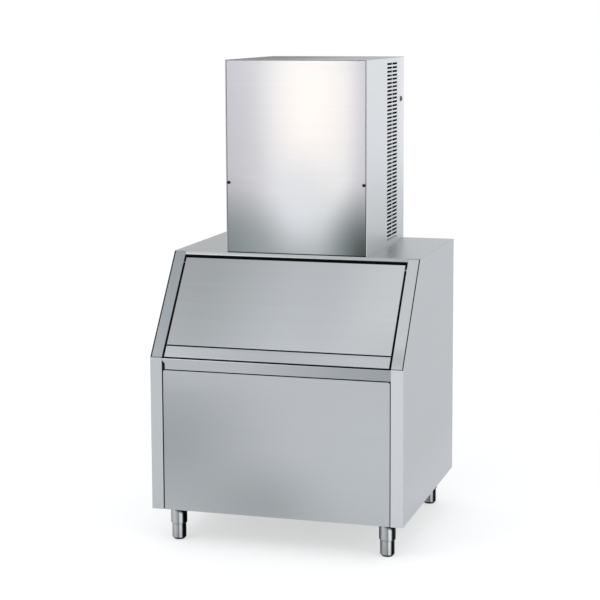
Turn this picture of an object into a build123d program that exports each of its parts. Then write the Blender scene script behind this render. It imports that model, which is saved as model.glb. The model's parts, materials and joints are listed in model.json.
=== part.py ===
from build123d import *
import os
from math import atan2, cos, degrees, radians, sin, sqrt

os.makedirs("parts", exist_ok=True)

# A cube ice machine: an ice-making head standing on an insulated storage bin.
# Millimetres. The origin is on the floor, at the middle of the whole footprint,
# the pipe ends behind the rear panel included.
# +Z is up, the front faces -Y, and +X is the right side seen from the front.

# Bin, outside
bin_width = 942.0
bin_depth = 870.0
bin_height = 1048.0
corner_height = 693.0
leg_height = 129.0
slant_run = 270.0
wall = 44.0

# Sheet metal
sheet = 1.2
fold = 2.0
flange = 20.0
post_width = 45.0
post_return = 18.0
post_seam = 4.0
corner_seam = 2.5
fit_gap = 0.3

# Upright front
panel_gap = 4.0
panel_recess = 2.0
panel_return = 15.0
panel_corner = 7.0
rail_height = 42.0
rail_gap = 4.0
rail_flange = 20.0
rail_foot = 12.0
notch_width = 12.0
notch_height = 34.0
notch_slope = 13.0

# Liner and the openings in it
liner_sheet = 3.0
liner_radius = 18.0
mouth_margin = 35.0
mouth_top = 75.0
mouth_end_margin = 52.0
drop_margin = 17.0
drop_setback = 50.0
drop_depth = 249.0
board_joint = 0.5

# Lid, measured along the slant from the bin's top edge
lip_length = 14.0
lip_return = 10.0
lid_top_gap = 13.0
lid_side_gap = 7.5
lid_bottom_gap = 5.0
lid_thickness = 34.0
lid_rail_height = 45.0
lid_seam = 4.5
lid_seam_return = 10.0
lid_liner_sheet = 2.0
plug_depth = 18.0
plug_gap = 7.0
plug_radius = 15.0
gasket_width = 12.0
gasket_margin = 3.0
frame_sheet = 3.0
frame_wall = 2.5
frame_gap = 2.0
hinge_drop = 15.0
hinge_depth = 14.0
pin_radius = 4.0
pin_clearance = 0.08
pin_hole_gap = 1.0
pin_reach = 16.0
pin_head_radius = 7.0
pin_head = 3.0
hinge_block_width = 24.0

# Legs and adjustable feet
leg_inset_side = 75.0
leg_inset_front = 80.0
leg_plate_radius = 42.0
leg_plate = 4.0
sleeve_radius = 30.0
sleeve_taper = 6.0
sleeve_bottom = 58.0
foot_radius = 26.0
foot_tip_radius = 19.0
foot_tip = 8.0
foot_seam = 0.6
foot_stem_length = 46.0
foot_stem_radius = 24.0
slide_clearance = 0.3

# Bin drain and ice level probe
drain_radius = 13.2
drain_bore = 9.0
drain_reach = 28.0
drain_flange_radius = 20.0
drain_flange = 3.0
drain_nut = 8.0
probe_radius = 5.0
probe_head_radius = 12.0
probe_head = 5.0
probe_length = 150.0
probe_offset = 45.0
probe_setback = 95.0

# Head, outside
head_width = 538.0
head_height = 712.0
head_setback = 10.0
hem = 4.0
hem_fold = 1.6
hem_depth = 19.0
inner_flange = 25.0
rear_flange = 15.0
top_flange = 14.0
head_panel_gap = 1.5
head_panel_return = 18.0
base_sheet = 1.5
base_upstand = 25.0
screw_height = 260.0
screw_inset = 11.5
screw_head_radius = 6.0
screw_head = 3.0
screw_shank_radius = 2.5
screw_shank = 24.0

# Vents in the right side and the rear
vent_rows = 47
vent_margin = 22.0
vent_height = 7.8
vent_length = 76.0
vent_spacing = 84.0
vent_inset = 199.0
grille_rows = 20
grille_pitch = 14.5
grille_length = 84.0
grille_spacing = 96.0

# Rocker switch, in the right side near the rear edge
switch_inset = 54.0
switch_height = 550.0
switch_length = 24.0
switch_width = 20.0
switch_bezel = 1.6
switch_wall = 2.0
switch_body_depth = 22.0
rocker_gap = 0.4
rocker_tilt = 10.0
rocker_rise = 1.5

# Ice making side of the head
evaporator_room = 24.0
drop_hole_width = 240.0
drop_hole_setback = 55.0
drop_hole_depth = 132.0
cell_pitch = 22.0
cell_columns = 11
cell_rows = 18
cell_wall = 1.6
cell_depth = 12.0
plate_back = 2.0
evaporator_setback = 217.0
evaporator_bottom = 132.0
coil_radius = 5.0
coil_pitch = 44.0
coil_runs = 9
frame_margin = 13.0
frame_reach = 32.0
frame_beam = 24.0
curtain_gap = 22.0
curtain_sheet = 3.0
curtain_barrel = 6.0
curtain_pin_radius = 3.5
curtain_side_gap = 2.0
curtain_hang = 4.0
distributor_radius = 11.0
distributor_wall = 2.0
distributor_hole = 1.5
riser_radius = 8.0
riser_gap = 28.0
riser_bend = 16.0
outlet_height = 13.0
trough_gap = 5.0
trough_depth = 210.0
trough_height = 88.0
trough_wall = 3.0
trough_radius = 12.0
trough_clearance = 6.0
pump_inset_side = 55.0
pump_inset_rear = 40.0
pump_radius = 27.0
pump_casing_height = 26.0
pump_wall = 3.0
pump_posts = 3
impeller_radius = 20.0
impeller_height = 12.0
impeller_vanes = 6
pump_shaft_radius = 3.0
pump_motor_radius = 28.0
pump_motor_height = 60.0
motor_plate = 4.0
motor_plate_margin = 8.0
motor_round = 6.0
shaft_collar = 4.0
impeller_disc = 2.0
vane_sheet = 1.6
impeller_gap = 2.0

# Water connections at the rear
inlet_height = 470.0
inlet_thread_radius = 13.2
inlet_thread_length = 22.0
inlet_bore = 6.0
valve_block = 38.0
valve_round = 4.0
coil_can_radius = 14.0
coil_can_height = 26.0
fill_radius = 5.0
fill_drop = 20.0
nut_radius = 18.0
nut_depth = 6.0
dump_offset = 145.0
dump_height = 38.0
dump_pipe_radius = 11.0
dump_pipe_bore = 8.5
dump_reach = 28.0
dump_flange_radius = 17.0
dump_flange = 3.0

# Refrigeration side of the head
compressor_setback = 215.0
compressor_radius = 76.0
compressor_shell = 190.0
compressor_dome = 34.0
discharge_share = 0.75
compressor_side_room = 22.0
compressor_foot_y = 72.0
compressor_foot = 3.0
foot_margin = 15.0
compressor_lift = 10.0
compressor_seam = 3.0
seam_height = 10.0
terminal_box = (56.0, 24.0, 48.0)
grommet_radius = 13.0
grommet_top = 11.0
grommet_height = 22.0
condenser_side_room = 27.5
condenser_height = 320.0
condenser_depth = 52.0
condenser_base = 196.0
condenser_ends = 3.0
condenser_tubes = 8
condenser_tube_radius = 4.6
hairpin_reach = 14.0
hairpin_bend = 10.0
fins = 24
fin_gap = 4.4
fin_groove = 6.0
shroud_sheet = 2.0
shroud_depth = 26.0
shroud_ring = 22.0
fan_margin = 13.0
fan_tip_gap = 5.0
fan_hub_radius = 20.0
fan_hub_depth = 24.0
fan_blades = 5
blade_root = 22.0
blade_tip = 52.0
blade_sheet = 2.2
blade_inset = 4.0
root_twist = 50.0
tip_twist = 24.0
fan_shaft_radius = 4.0
fan_motor_radius = 38.0
fan_motor_length = 56.0
fan_motor_gap = 5.0
bracket_strap = 12.0
bracket_sheet = 2.5
bracket_arms = 3
bracket_gap = 12.0
bracket_clamp = 14.0
drier_radius = 17.0
drier_length = 96.0
drier_taper = 10.0
line_radius = 4.0
line_bend = 9.0
line_side_gap = 13.0
hot_gas_height = 300.0
hot_gas_valve_size = 24.0
control_side_room = 34.0
control_depth = 70.0
control_height = 210.0
control_margin = 4.0
gland_inset = 52.0
gland_height = 640.0
gland_radius = 9.0
gland_flats = 13.0
gland_nut = 5.0
gland_bore = 4.5
gland_reach = 18.0

# Worked out from the sizes above
half_width = bin_width / 2
front_y = -(bin_depth + drain_reach) / 2
rear_y = front_y + bin_depth
bin_middle = (front_y + rear_y) / 2
slant_top_y = front_y + slant_run
slant_rise = bin_height - corner_height
slant_length = sqrt(slant_run**2 + slant_rise**2)
slant_out = Vector(0, -slant_rise / slant_length, slant_run / slant_length)
slant_down = Vector(0, -slant_run / slant_length, -slant_rise / slant_length)
post_inner = half_width - post_width
post_lip_top = corner_height - post_return * slant_run / slant_length - corner_seam
lid_half = post_inner - lid_side_gap
mouth_half = lid_half - mouth_margin
lid_top = lip_length + lid_top_gap
lid_end = slant_length - lid_bottom_gap
lid_rail_top = lid_end - lid_rail_height
lid_skin_end = lid_rail_top - lid_seam
lid_body = lid_thickness - lid_liner_sheet
mouth_end = slant_length - mouth_end_margin
hinge_s = lid_top + hinge_drop
gasket_thickness = wall - frame_sheet - lid_thickness - fit_gap
drop_front = slant_top_y + drop_setback
head_half = head_width / 2
drop_half = head_half - drop_margin
casing_half = head_half - sheet - fit_gap
head_front = slant_top_y + head_setback
head_depth = rear_y - head_front
head_top_z = bin_height + head_height
base_top = bin_height + base_sheet
rear_inside = rear_y - 2 * sheet
evaporator_width = cell_columns * cell_pitch + cell_wall
wet_width = evaporator_width + 2 * evaporator_room
bulkhead_x = wet_width - casing_half
dry_width = casing_half - bulkhead_x - sheet
dry_x = casing_half - dry_width / 2
evaporator_x = bulkhead_x - wet_width / 2
evaporator_front = head_front + evaporator_setback
evaporator_height = cell_rows * cell_pitch + cell_wall
evaporator_depth = cell_depth + plate_back
evaporator_base = bin_height + evaporator_bottom
evaporator_mid = evaporator_base + evaporator_height / 2
evaporator_top = evaporator_base + evaporator_height


# Placing and shaping


def front_plane(y):
    """upright plane facing the front, its own Y up"""
    return Plane.XZ.offset(-y)


def side_plane(x):
    """upright plane facing +X, its own X running to the rear"""
    return Plane.YZ.offset(x)


def slant_plane(depth):
    """plane of the slanted front, sunk by depth, its own Y pointing up the slope"""
    face = Plane(origin=(0, slant_top_y, bin_height), x_dir=(1, 0, 0), z_dir=slant_out)
    return face.offset(-depth)


def slant_point(s, depth):
    """point on the middle plane, s down the slope and depth below it"""
    place = Vector(0, slant_top_y, bin_height) + slant_down * s - slant_out * depth
    return (place.X, place.Y, place.Z)


def block(x, y, z, mode=Mode.ADD):
    """rectangular block between pairs of limits, in the current part"""
    with Locations(((x[0] + x[1]) / 2, (y[0] + y[1]) / 2, (z[0] + z[1]) / 2)):
        Box(x[1] - x[0], y[1] - y[0], z[1] - z[0], mode=mode)


def bin_outline(x, inset):
    """the bin's five-sided cross-section on the plane at x, set in all round"""
    with BuildSketch(side_plane(x)) as outline:
        with BuildLine():
            Polyline(
                (front_y, leg_height),
                (rear_y, leg_height),
                (rear_y, bin_height),
                (slant_top_y, bin_height),
                (front_y, corner_height),
                close=True,
            )
        make_face()
        if inset:
            offset(amount=-inset, kind=Kind.INTERSECTION)
    return outline.sketch


def slant_slab(half, top, end, depth, thickness, corner=0, mode=Mode.ADD):
    """slab parallel to the slanted front, from top to end down the slope"""
    with BuildSketch(slant_plane(depth)) as face:
        with Locations((0, -(top + end) / 2)):
            outline = Rectangle(2 * half, end - top)
            if corner:
                fillet(outline.vertices(), corner)
    extrude(face.sketch, amount=-thickness, mode=mode)


def upright_panel(half, bottom, top, y, thickness, mode=Mode.ADD):
    """upright slab across the machine, its front face at y"""
    with BuildSketch(front_plane(y)) as face:
        with Locations((0, (bottom + top) / 2)):
            Rectangle(2 * half, top - bottom)
    extrude(face.sketch, amount=-thickness, mode=mode)


def folded_strip(plane, points, start, length):
    """sheet folded along an outer line of points, extruded from start along the plane's normal"""
    with BuildSketch(plane.offset(start)) as section:
        with BuildLine():
            FilletPolyline(*points, radius=fold)
            offset(amount=sheet, side=Side.RIGHT)
        make_face()
    extrude(section.sketch, amount=length)


def turned(x, y, points):
    """outline of (radius, height) points turned about the upright axis at x, y"""
    with BuildSketch(Plane(origin=(x, y, 0), x_dir=(1, 0, 0), z_dir=(0, -1, 0))) as section:
        with BuildLine():
            Polyline(*points, close=True)
        make_face()
    revolve(section.sketch, axis=Axis((x, y, 0), (0, 0, 1)))


def tube(points, radius, bend):
    """round bar along straight runs joined by tangent bends"""
    start = Vector(*points[0])
    with BuildLine() as route:
        FilletPolyline(*points, radius=bend)
    with BuildSketch(Plane(origin=start, z_dir=Vector(*points[1]) - start)) as section:
        Circle(radius)
    sweep(section.sketch, path=route.line)


def rounded_tub(half, inset, radius):
    """solid with the bin's cross-section and rounded edges, for the moulded liner"""
    with BuildPart() as tub:
        extrude(bin_outline(-half, inset), amount=2 * half)
        fillet(tub.edges(), radius)
    return tub.part


# Bin shell


def bin_side(sign):
    """side panel with its front post folded from the same sheet, open along the slant"""
    outer = sign * half_width
    with BuildPart() as side:
        extrude(bin_outline(outer, 0), amount=-sign * post_width)
        post_bend = side.edges().filter_by(Axis.Z).group_by(Axis.Y)[0].sort_by(Axis.X)
        fillet(post_bend[-1] if sign > 0 else post_bend[0], fold)
        hollow = bin_outline(outer - sign * sheet, sheet)
        extrude(hollow, amount=-sign * post_width, mode=Mode.SUBTRACT)
        flange_end = outer - sign * flange
        past_post = outer - sign * (post_width + 1)
        inner = sorted((flange_end, past_post))
        block(inner, (front_y + post_return, rear_y + 1), (0, bin_height + 1), Mode.SUBTRACT)
        skin_inside = sorted((outer - sign * sheet, past_post))
        with BuildSketch(slant_plane(sheet)):
            with Locations(((skin_inside[0] + skin_inside[1]) / 2, -slant_length / 2)):
                Rectangle(skin_inside[1] - skin_inside[0], slant_length)
        extrude(amount=wall, mode=Mode.SUBTRACT)
        block((-bin_width, bin_width), (front_y - 1, rear_y + 1),
              (bin_height - sheet, bin_height + 1), Mode.SUBTRACT)
        lip = sorted((sign * post_inner, sign * (post_inner + sheet)))
        block(lip, (front_y, front_y + post_return), (leg_height, post_lip_top))
    return side


bin_left_side = bin_side(-1)
bin_left_side.part.label = "bin_left_side"
export_step(bin_left_side.part, "parts/bin_left_side.step")

bin_right_side = bin_side(1)
bin_right_side.part.label = "bin_right_side"
export_step(bin_right_side.part, "parts/bin_right_side.step")


def slant_post(sign):
    """channel that carries the front post on up the slant, beside the lid"""
    wide = post_width - sheet - post_seam
    top = 2 * sheet
    end = slant_length - corner_seam
    middle = sign * (post_inner + wide / 2)
    with BuildPart() as post:
        with BuildSketch(slant_plane(0)):
            with Locations((middle, -(top + end) / 2)):
                Rectangle(wide, end - top)
        extrude(amount=-post_return)
        with BuildSketch(slant_plane(sheet)):
            with Locations((middle, -(top + end) / 2)):
                Rectangle(wide - 2 * sheet, end - top)
        extrude(amount=-post_return, mode=Mode.SUBTRACT)
        folds = post.faces().sort_by(Axis((0, 0, 0), slant_out))[-1].edges()
        fillet(folds.sort_by(SortBy.LENGTH)[-2:], sheet)
        with BuildSketch(Plane.YZ):
            with Locations(slant_point(hinge_s, hinge_depth)[1:]):
                Circle(pin_radius + pin_clearance)
        extrude(amount=sign * (post_inner + 2 * sheet), mode=Mode.SUBTRACT)
    return post


left_slant_post = slant_post(-1)
left_slant_post.part.label = "left_slant_post"
export_step(left_slant_post.part, "parts/left_slant_post.step")

right_slant_post = slant_post(1)
right_slant_post.part.label = "right_slant_post"
export_step(right_slant_post.part, "parts/right_slant_post.step")

# Top panel: its front edge folds down the slant as a lip above the lid
lip_half = post_inner - fit_gap
drop_middle_y = drop_front + drop_depth / 2
with BuildPart() as bin_top_panel:
    lip_end = slant_point(lip_length, 0)[1:]
    lip_back = slant_point(lip_length, lip_return)[1:]
    lip_points = (lip_back, lip_end, (slant_top_y, bin_height), (drop_front, bin_height))
    folded_strip(Plane.YZ, lip_points, -lip_half, 2 * lip_half)
    with BuildSketch(Plane.XY.offset(bin_height - sheet)):
        with Locations((0, (slant_top_y + fold + rear_y) / 2)):
            Rectangle(bin_width, rear_y - slant_top_y - fold)
        with Locations(((half_width + lip_half) / 2, slant_top_y + fold),
                       (-(half_width + lip_half) / 2, slant_top_y + fold)):
            Rectangle(half_width - lip_half, 2 * fold)
        with Locations((0, drop_middle_y)):
            Rectangle(2 * drop_half, drop_depth, mode=Mode.SUBTRACT)
    extrude(amount=sheet)
bin_top_panel.part.label = "bin_top_panel"
export_step(bin_top_panel.part, "parts/bin_top_panel.step")

# Front panel: a drawn pan set a little behind the posts
panel_half = post_inner - panel_gap
panel_top = corner_height - rail_height - rail_gap
panel_y = front_y + panel_recess
panel_mid_z = (leg_height + panel_top) / 2
panel_tall = panel_top - leg_height
with BuildPart() as bin_front_panel:
    with BuildSketch(front_plane(panel_y)):
        with Locations((0, panel_mid_z)):
            outline = Rectangle(2 * panel_half, panel_tall)
            fillet(outline.vertices().group_by(Axis.Y)[-1], panel_corner)
    extrude(amount=-panel_return)
    with BuildSketch(front_plane(panel_y + sheet)):
        with Locations((0, panel_mid_z)):
            hollow = Rectangle(2 * (panel_half - sheet), panel_tall - 2 * sheet)
            fillet(hollow.vertices().group_by(Axis.Y)[-1], panel_corner - sheet)
    extrude(amount=-panel_return, mode=Mode.SUBTRACT)
bin_front_panel.part.label = "bin_front_panel"
export_step(bin_front_panel.part, "parts/bin_front_panel.step")

# Sill rail under the lid, with the finger notch at its left end
rail_half = post_inner - fit_gap
rail_bottom = corner_height - rail_height
with BuildPart() as sill_rail:
    rail_back = slant_point(slant_length, rail_flange)[1:]
    rail_points = ((front_y + rail_foot, rail_bottom), (front_y, rail_bottom),
                   (front_y, corner_height), rail_back)
    folded_strip(Plane.YZ, rail_points, -rail_half, 2 * rail_half)
    notch_top = rail_bottom + notch_height
    with BuildSketch(front_plane(front_y - 1)):
        with BuildLine():
            Polyline(
                (-rail_half, rail_bottom - 1),
                (-rail_half + notch_width, rail_bottom - 1),
                (-rail_half + notch_width, notch_top - notch_slope),
                (-rail_half, notch_top),
                close=True,
            )
        make_face()
    extrude(amount=-(rail_foot + 2), mode=Mode.SUBTRACT)
sill_rail.part.label = "sill_rail"
export_step(sill_rail.part, "parts/sill_rail.step")

# Rear panel, inside the flanges of the sides
drain_z = leg_height + wall + liner_radius + drain_flange_radius + fit_gap
inner_half = half_width - sheet - fit_gap
with BuildPart() as bin_rear_panel:
    upright_panel(inner_half, leg_height + 2 * sheet, bin_height - sheet,
                  rear_y - 2 * sheet, sheet)
    with BuildSketch(front_plane(rear_y)):
        with Locations((0, drain_z)):
            Circle(drain_radius + fit_gap)
    extrude(amount=3 * sheet, mode=Mode.SUBTRACT)
bin_rear_panel.part.label = "bin_rear_panel"
export_step(bin_rear_panel.part, "parts/bin_rear_panel.step")

# Base pan, on the bottom flanges of the sides
pan_front = front_y + post_return + fit_gap
pan_rear = rear_y - 2 * sheet - fit_gap
with BuildPart() as bin_base_pan:
    block((-inner_half, inner_half), (pan_front, pan_rear),
          (leg_height + sheet, leg_height + flange))
    block((-inner_half + sheet, inner_half - sheet), (pan_front + sheet, pan_rear - sheet),
          (leg_height + 2 * sheet, leg_height + flange + 1), Mode.SUBTRACT)
bin_base_pan.part.label = "bin_base_pan"
export_step(bin_base_pan.part, "parts/bin_base_pan.step")

# Plastic liner, with a mouth in its slanted wall and a collar up to the head
liner_half = half_width - wall
mouth_mid = -(mouth_top + mouth_end) / 2
liner_outside = rounded_tub(liner_half, wall, liner_radius)
with BuildPart() as bin_liner:
    add(liner_outside)
    hollow = rounded_tub(liner_half - liner_sheet, wall + liner_sheet, liner_radius - liner_sheet)
    add(hollow, mode=Mode.SUBTRACT)
    block((-drop_half - liner_sheet, drop_half + liner_sheet),
          (drop_front - liner_sheet, drop_front + drop_depth + liner_sheet),
          (bin_height - wall - liner_sheet, bin_height - sheet))
    block((-drop_half, drop_half), (drop_front, drop_front + drop_depth),
          (bin_height - 2 * wall, bin_height), Mode.SUBTRACT)
    with BuildSketch(slant_plane(wall - 1)):
        with Locations((0, mouth_mid)):
            mouth = Rectangle(2 * mouth_half, mouth_end - mouth_top)
            fillet(mouth.vertices(), plug_radius)
    extrude(amount=-(liner_sheet + 2), mode=Mode.SUBTRACT)
    with BuildSketch(front_plane(rear_y - wall + 1)):
        with Locations((0, drain_z)):
            Circle(drain_radius + fit_gap)
    extrude(amount=liner_sheet + 2, mode=Mode.SUBTRACT)
bin_liner.part.label = "bin_liner"
export_step(bin_liner.part, "parts/bin_liner.step")

# Door frame: a moulded black tray that lines the pocket behind the lid
frame_half = post_inner - fit_gap
frame_top = lip_length + frame_gap
frame_end = slant_length - fit_gap
frame_start = rail_flange + fit_gap
with BuildPart() as door_frame:
    slant_slab(frame_half, frame_top, frame_end, frame_start, wall - frame_start)
    slant_slab(frame_half - frame_wall, frame_top + frame_wall, frame_end - frame_wall,
               frame_start, wall - frame_start - frame_sheet, mode=Mode.SUBTRACT)
    slant_slab(mouth_half, mouth_top, mouth_end, frame_start, wall, plug_radius, Mode.SUBTRACT)
door_frame.part.label = "door_frame"
export_step(door_frame.part, "parts/door_frame.step")

# Drain spigot: flange in the liner, nut and outside thread behind the rear panel
liner_back = rear_y - wall - liner_sheet
with BuildPart() as bin_drain:
    with BuildSketch(front_plane(liner_back - drain_flange)):
        with Locations((0, drain_z)):
            Circle(drain_flange_radius)
    extrude(amount=-drain_flange)
    with BuildSketch(front_plane(liner_back - drain_flange)):
        with Locations((0, drain_z)):
            Circle(drain_radius)
    extrude(amount=-(wall + liner_sheet + drain_flange + drain_reach))
    with BuildSketch(front_plane(rear_y - sheet)):
        with Locations((0, drain_z)):
            RegularPolygon(drain_flange_radius, 6)
    extrude(amount=-drain_nut)
    with BuildSketch(front_plane(liner_back - 2 * drain_flange)):
        with Locations((0, drain_z)):
            Circle(drain_bore)
    extrude(amount=-(2 * wall + drain_reach), mode=Mode.SUBTRACT)
bin_drain.part.label = "bin_drain"
export_step(bin_drain.part, "parts/bin_drain.step")

# Lid: folded outer skin and lower rail, foam, and a plastic inner door
with BuildPart() as lid_skin:
    slant_slab(lid_half, lid_top, lid_skin_end, 0, lid_body)
    slant_slab(lid_half - sheet, lid_top + sheet, lid_skin_end - sheet, sheet, lid_body,
               mode=Mode.SUBTRACT)
    slant_slab(lid_half - sheet, lid_skin_end - 2 * sheet, lid_skin_end + 1, lid_seam_return,
               lid_body, mode=Mode.SUBTRACT)
    face_edges = lid_skin.faces().sort_by(Axis((0, 0, 0), slant_out))[-1].edges()
    fillet(face_edges, fold)
    with BuildSketch(Plane.YZ):
        with Locations(slant_point(hinge_s, hinge_depth)[1:]):
            Circle(pin_radius + pin_hole_gap)
    extrude(amount=half_width, both=True, mode=Mode.SUBTRACT)
lid_skin.part.label = "lid_skin"
export_step(lid_skin.part, "parts/lid_skin.step")

with BuildPart() as lid_rail:
    slant_slab(lid_half, lid_rail_top, lid_end, 0, lid_body)
    slant_slab(lid_half - sheet, lid_rail_top + sheet, lid_end - sheet, sheet, lid_body,
               mode=Mode.SUBTRACT)
    slant_slab(lid_half - sheet, lid_rail_top - 1, lid_rail_top + 2 * sheet, lid_seam_return,
               lid_body, mode=Mode.SUBTRACT)
    face_edges = lid_rail.faces().sort_by(Axis((0, 0, 0), slant_out))[-1].edges()
    fillet(face_edges, fold)
lid_rail.part.label = "lid_rail"
export_step(lid_rail.part, "parts/lid_rail.step")

plug_half = mouth_half - plug_gap
plug_top = mouth_top + plug_gap
plug_end = mouth_end - plug_gap
with BuildPart() as lid_liner:
    slant_slab(lid_half, lid_top, lid_end, lid_body, lid_liner_sheet)
    slant_slab(plug_half, plug_top, plug_end, lid_body, lid_liner_sheet + plug_depth, plug_radius)
    slant_slab(plug_half - lid_liner_sheet, plug_top + lid_liner_sheet,
               plug_end - lid_liner_sheet, lid_body, plug_depth,
               plug_radius - lid_liner_sheet, Mode.SUBTRACT)
lid_liner.part.label = "lid_liner"
export_step(lid_liner.part, "parts/lid_liner.step")

# Bearing blocks in the lid's top corners, and the pins that they turn on
hinge_x = lid_half - sheet
hinge_z_room = lid_body - sheet
with BuildPart() as lid_hinge_blocks:
    for sign in (-1, 1):
        span = sorted((sign * hinge_x, sign * (hinge_x - pin_reach)))
        with BuildSketch(slant_plane(sheet)):
            with Locations(((span[0] + span[1]) / 2, -(lid_top + sheet + hinge_block_width / 2))):
                Rectangle(pin_reach, hinge_block_width)
        extrude(amount=-hinge_z_room)
    with BuildSketch(Plane.YZ):
        with Locations(slant_point(hinge_s, hinge_depth)[1:]):
            Circle(pin_radius + pin_clearance)
    extrude(amount=half_width, both=True, mode=Mode.SUBTRACT)
lid_hinge_blocks.part.label = "lid_hinge_blocks"
export_step(lid_hinge_blocks.part, "parts/lid_hinge_blocks.step")

with BuildPart() as lid_pins:
    for sign in (-1, 1):
        with BuildSketch(side_plane(sign * (hinge_x - pin_reach + 1))):
            with Locations(slant_point(hinge_s, hinge_depth)[1:]):
                Circle(pin_radius)
        extrude(amount=sign * (post_inner + sheet + pin_head - hinge_x + pin_reach - 1))
        with BuildSketch(side_plane(sign * (post_inner + sheet))):
            with Locations(slant_point(hinge_s, hinge_depth)[1:]):
                Circle(pin_head_radius)
        extrude(amount=sign * pin_head)
lid_pins.part.label = "lid_pins"
export_step(lid_pins.part, "parts/lid_pins.step")

with BuildPart() as lid_core:
    slant_slab(lid_half - sheet, lid_top + sheet, lid_end - sheet, sheet, lid_body - sheet)
    slant_slab(plug_half - lid_liner_sheet, plug_top + lid_liner_sheet,
               plug_end - lid_liner_sheet, lid_body, plug_depth, plug_radius - lid_liner_sheet)
    slant_slab(lid_half, lid_skin_end - 2 * sheet, lid_rail_top + 2 * sheet, 0,
               lid_seam_return, mode=Mode.SUBTRACT)
    for sign in (-1, 1):
        with BuildSketch(slant_plane(sheet)):
            corner_x = sign * (hinge_x - pin_reach / 2)
            with Locations((corner_x, -(lid_top + sheet + hinge_block_width / 2))):
                Rectangle(pin_reach, hinge_block_width)
        extrude(amount=-hinge_z_room, mode=Mode.SUBTRACT)
lid_core.part.label = "lid_core"
export_step(lid_core.part, "parts/lid_core.step")

# Foam boards between the skins and the liner, butted at the corners of the shell
floor_board_top = leg_height + wall
top_board_base = bin_height - wall
collar_half = drop_half + liner_sheet
collar_front = drop_front - liner_sheet
collar_rear = drop_front + drop_depth + liner_sheet
with BuildPart() as bin_insulation:
    extrude(bin_outline(-inner_half, sheet), amount=2 * inner_half)
    block((-bin_width, bin_width), (front_y, front_y + panel_recess + 2 * sheet),
          (leg_height, rail_bottom), Mode.SUBTRACT)
    block((-bin_width, bin_width), (rear_y - 2 * sheet, rear_y),
          (leg_height, bin_height), Mode.SUBTRACT)
    block((-bin_width, bin_width), (front_y, rear_y),
          (leg_height, leg_height + 2 * sheet), Mode.SUBTRACT)
    extrude(bin_outline(-liner_half, wall), amount=2 * liner_half, mode=Mode.SUBTRACT)
    block((-collar_half, collar_half), (collar_front, collar_rear),
          (bin_height - 2 * wall, bin_height), Mode.SUBTRACT)
    for sign in (-1, 1):
        block(sorted((sign * liner_half, sign * (liner_half - board_joint))),
              (front_y, rear_y), (leg_height, bin_height), Mode.SUBTRACT)
        block(sorted((sign * collar_half, sign * (collar_half + board_joint))),
              (collar_front, collar_rear), (top_board_base, bin_height), Mode.SUBTRACT)
    for level in (floor_board_top, top_board_base - board_joint):
        block((-liner_half, liner_half), (front_y, rear_y),
              (level, level + board_joint), Mode.SUBTRACT)
    for line in (collar_front - board_joint, collar_rear):
        block((-liner_half, liner_half), (line, line + board_joint),
              (top_board_base, bin_height), Mode.SUBTRACT)
    pocket_half = max(post_inner, liner_half)
    slant_slab(pocket_half, frame_top, slant_length + sheet, 0, wall + 1, mode=Mode.SUBTRACT)
    with BuildSketch(front_plane(rear_y)):
        with Locations((0, drain_z)):
            Circle(drain_radius + fit_gap)
    extrude(amount=2 * wall, mode=Mode.SUBTRACT)
    for neighbour in (bin_left_side, bin_right_side, left_slant_post, right_slant_post,
                      bin_top_panel, bin_front_panel, sill_rail, bin_base_pan, door_frame, lid_pins):
        add(neighbour.part, mode=Mode.SUBTRACT)
bin_insulation.part.label = "bin_insulation"
export_step(bin_insulation.part, "parts/bin_insulation.step")

gasket_half = mouth_half + gasket_margin
gasket_top = mouth_top - gasket_margin
gasket_end = mouth_end + gasket_margin
with BuildPart() as lid_gasket:
    slant_slab(gasket_half + gasket_width, gasket_top - gasket_width,
               gasket_end + gasket_width, lid_thickness, gasket_thickness, plug_radius)
    slant_slab(gasket_half, gasket_top, gasket_end, lid_thickness, gasket_thickness,
               plug_radius, Mode.SUBTRACT)
lid_gasket.part.label = "lid_gasket"
export_step(lid_gasket.part, "parts/lid_gasket.step")

# Legs: four turned sleeves, and a foot that slides out of each one to level the machine
leg_x = half_width - leg_inset_side
leg_y = bin_depth / 2 - leg_inset_front
leg_top = leg_height + sheet
sleeve_bore = foot_stem_radius + slide_clearance
with BuildPart() as leg_sleeves:
    for side in (-1, 1):
        for end in (-1, 1):
            turned(side * leg_x, bin_middle + end * leg_y, (
                (sleeve_bore, sleeve_bottom),
                (foot_radius + foot_seam, sleeve_bottom),
                (sleeve_radius, sleeve_bottom + sleeve_taper),
                (sleeve_radius, leg_top - leg_plate),
                (leg_plate_radius, leg_top - leg_plate),
                (leg_plate_radius, leg_top),
                (0, leg_top),
                (0, leg_top - 2 * leg_plate),
                (sleeve_bore, leg_top - 2 * leg_plate),
            ))
leg_sleeves.part.label = "leg_sleeves"
export_step(leg_sleeves.part, "parts/leg_sleeves.step")

foot_shoulder = sleeve_bottom - foot_seam
for side, side_name in ((-1, "left"), (1, "right")):
    for end, end_name in ((-1, "front"), (1, "rear")):
        with BuildPart() as foot:
            turned(side * leg_x, bin_middle + end * leg_y, (
                (0, 0),
                (foot_tip_radius, 0),
                (foot_radius, foot_tip),
                (foot_radius, foot_shoulder),
                (foot_stem_radius, foot_shoulder),
                (foot_stem_radius, foot_shoulder + foot_stem_length),
                (0, foot_shoulder + foot_stem_length),
            ))
        foot.part.label = f"foot_{end_name}_{side_name}"
        export_step(foot.part, f"parts/foot_{end_name}_{side_name}.step")

# Head casing


def vent_slots(plane, across, up, length, height, columns, spacing, rows, pitch, depth):
    """rows and columns of level slots, cut through the sheet"""
    with BuildSketch(plane) as slots:
        with Locations((across, up)):
            with GridLocations(spacing, pitch, columns, rows):
                Rectangle(length, height)
    extrude(slots.sketch, amount=-depth, mode=Mode.SUBTRACT)


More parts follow.
